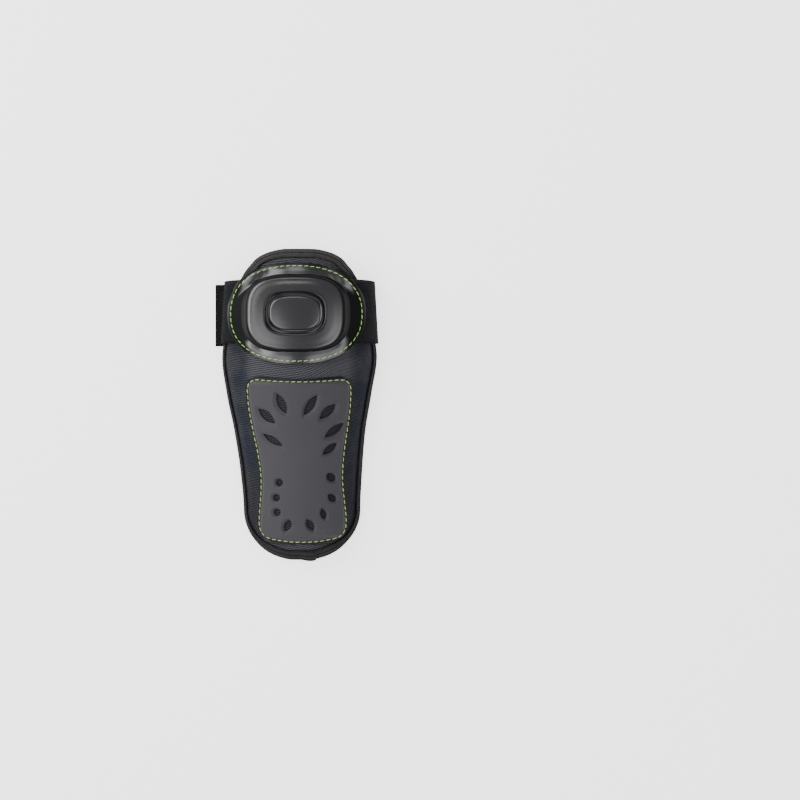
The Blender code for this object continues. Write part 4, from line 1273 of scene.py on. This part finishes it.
def sew(name, piece, points, pitch, fill, lean):
    """A row of stitches, each a spindle of thread that dips into the sheet at both ends."""
    find = surface_of(piece)
    stations = closed_seam(points, pitch)
    shape = bmesh.new()
    for (x0, y0), (x1, y1) in zip(stations, stations[1:]):
        start, normal = find(x0, y0)
        end, _ = find(x1, y1)
        if start is None or end is None:
            continue
        along = end - start
        beside = normal.cross(along).normalized()
        made = bmesh.ops.create_uvsphere(shape, u_segments=8, v_segments=8, radius=1.0)
        centre = (start + end) / 2
        for vertex in made["verts"]:
            reach, swing, rise = vertex.co.z, vertex.co.x, vertex.co.y
            offset = along * (reach * fill / 2)
            offset += beside * (swing * THREAD / 2 + lean * reach * THREAD)
            offset += normal * (rise * THREAD / 2 + THREAD * (0.30 - 0.25 * reach**2))
            vertex.co = centre + offset
    return new_piece(name, shape)


angles = np.linspace(0, 2 * math.pi, 720, endpoint=False)
across, up = np.cos(angles), np.sin(angles)
seam_x = CAP_SEAM_X * CAP_LENGTH / 2 * np.copysign(np.abs(across) ** (2 / CAP_SQUARE), across)
seam_y = CAP_SEAM_Y * CAP_HEIGHT / 2 * np.copysign(np.abs(up) ** (2 / CAP_SQUARE), up)
cap_line = np.column_stack([seam_x + middle(CAP_CENTRE_Y) + CAP_OFFSET_X, seam_y + CAP_CENTRE_Y])

cap_seam = sew("cap_stitching", cap, cap_line + SHIFT[:2], CAP_STITCH, fill=0.80, lean=0.25)
panel_seam = sew("panel_stitching", panel, panel_line + SHIFT[:2], PANEL_STITCH, fill=0.78, lean=0.20)

green = Finish("green_thread", Roughness=0.55, Specular_IOR_Level=0.3)
ply = green.place.noise(0.0008, 2.0)
thread_colour = ply.ramp(0.3, 0.7).colours((0.27, 0.38, 0.13), (0.58, 0.68, 0.36))
for row in (cap_seam, panel_seam):
    green.wear(row, thread_colour, height=ply, depth=0.0001)
    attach(row, "root")

# Floor, light and camera: a plain white table with a glow of its own, under a large soft box on the left, a
# small one beyond the upper end, and a dim ceiling with a bright strip on each side of the camera.

FLOOR_SIZE = 12.0
CAMERA_HEIGHT = 1.4
PIXEL = 0.00087
PHOTO_WIDTH = 800
SENSOR = 36.0
CAMERA_X = 0.0866
CAMERA_Y = 0.0041

shape = bmesh.new()
bmesh.ops.create_grid(shape, x_segments=1, y_segments=1, size=FLOOR_SIZE / 2)
table_top = new_piece("table_top", shape)
paper = Finish("lit_white_table", Roughness=0.9, Emission_Color=(1.0, 1.0, 1.0, 1.0), Emission_Strength=2.0)
paper.wear(table_top, paper.place.noise(0.4).colours((0.90, 0.90, 0.90), (0.92, 0.92, 0.92)))

world = bpy.data.worlds.new("studio")
world.use_nodes = True
sky = world.node_tree.nodes["Background"]
x, y, height = Signal(world.node_tree).node("TexCoord", output="Generated").parts()
beside = x.math("ABSOLUTE")
strips = beside.ramp(0.10, 0.25) * (1 - beside.ramp(0.36, 0.84))
strips = strips * (1 - y.ramp(0.02, 0.28)) * height.ramp(0.2, 0.5)
ceiling = height.ramp(0.20, 0.80).colours((0.07, 0.07, 0.07), (0.36, 0.36, 0.38))
ceiling = strips.colours(ceiling, (2.60, 2.56, 2.64))
world.node_tree.links.new(ceiling.socket, sky.inputs["Color"])
sky.inputs["Strength"].default_value = 1.0
bpy.context.scene.world = world


def soft_box(name, place, target, size, power):
    light = bpy.data.lights.new(name, "AREA")
    light.shape = "RECTANGLE"
    light.size, light.size_y = size
    light.energy = power
    lamp = bpy.data.objects.new(name, light)
    lamp.location = place
    lamp.rotation_euler = (Vector(target) - Vector(place)).to_track_quat("-Z", "Y").to_euler()
    bpy.context.scene.collection.objects.link(lamp)


soft_box("left_box", (-1.15, 0.60, 0.95), (0, 0, 0), (1.3, 1.3), 25.0)
soft_box("upper_box", (-0.10, 0.74, 0.88), (0, 0.05, 0), (0.30, 0.40), 0.9)

lens = bpy.data.cameras.new("camera")
lens.sensor_width = SENSOR
lens.lens = SENSOR * CAMERA_HEIGHT / (PIXEL * PHOTO_WIDTH)
camera = bpy.data.objects.new("camera", lens)
camera.location = (CAMERA_X + SHIFT[0], CAMERA_Y + SHIFT[1], CAMERA_HEIGHT)
bpy.context.scene.collection.objects.link(camera)
bpy.context.scene.camera = camera
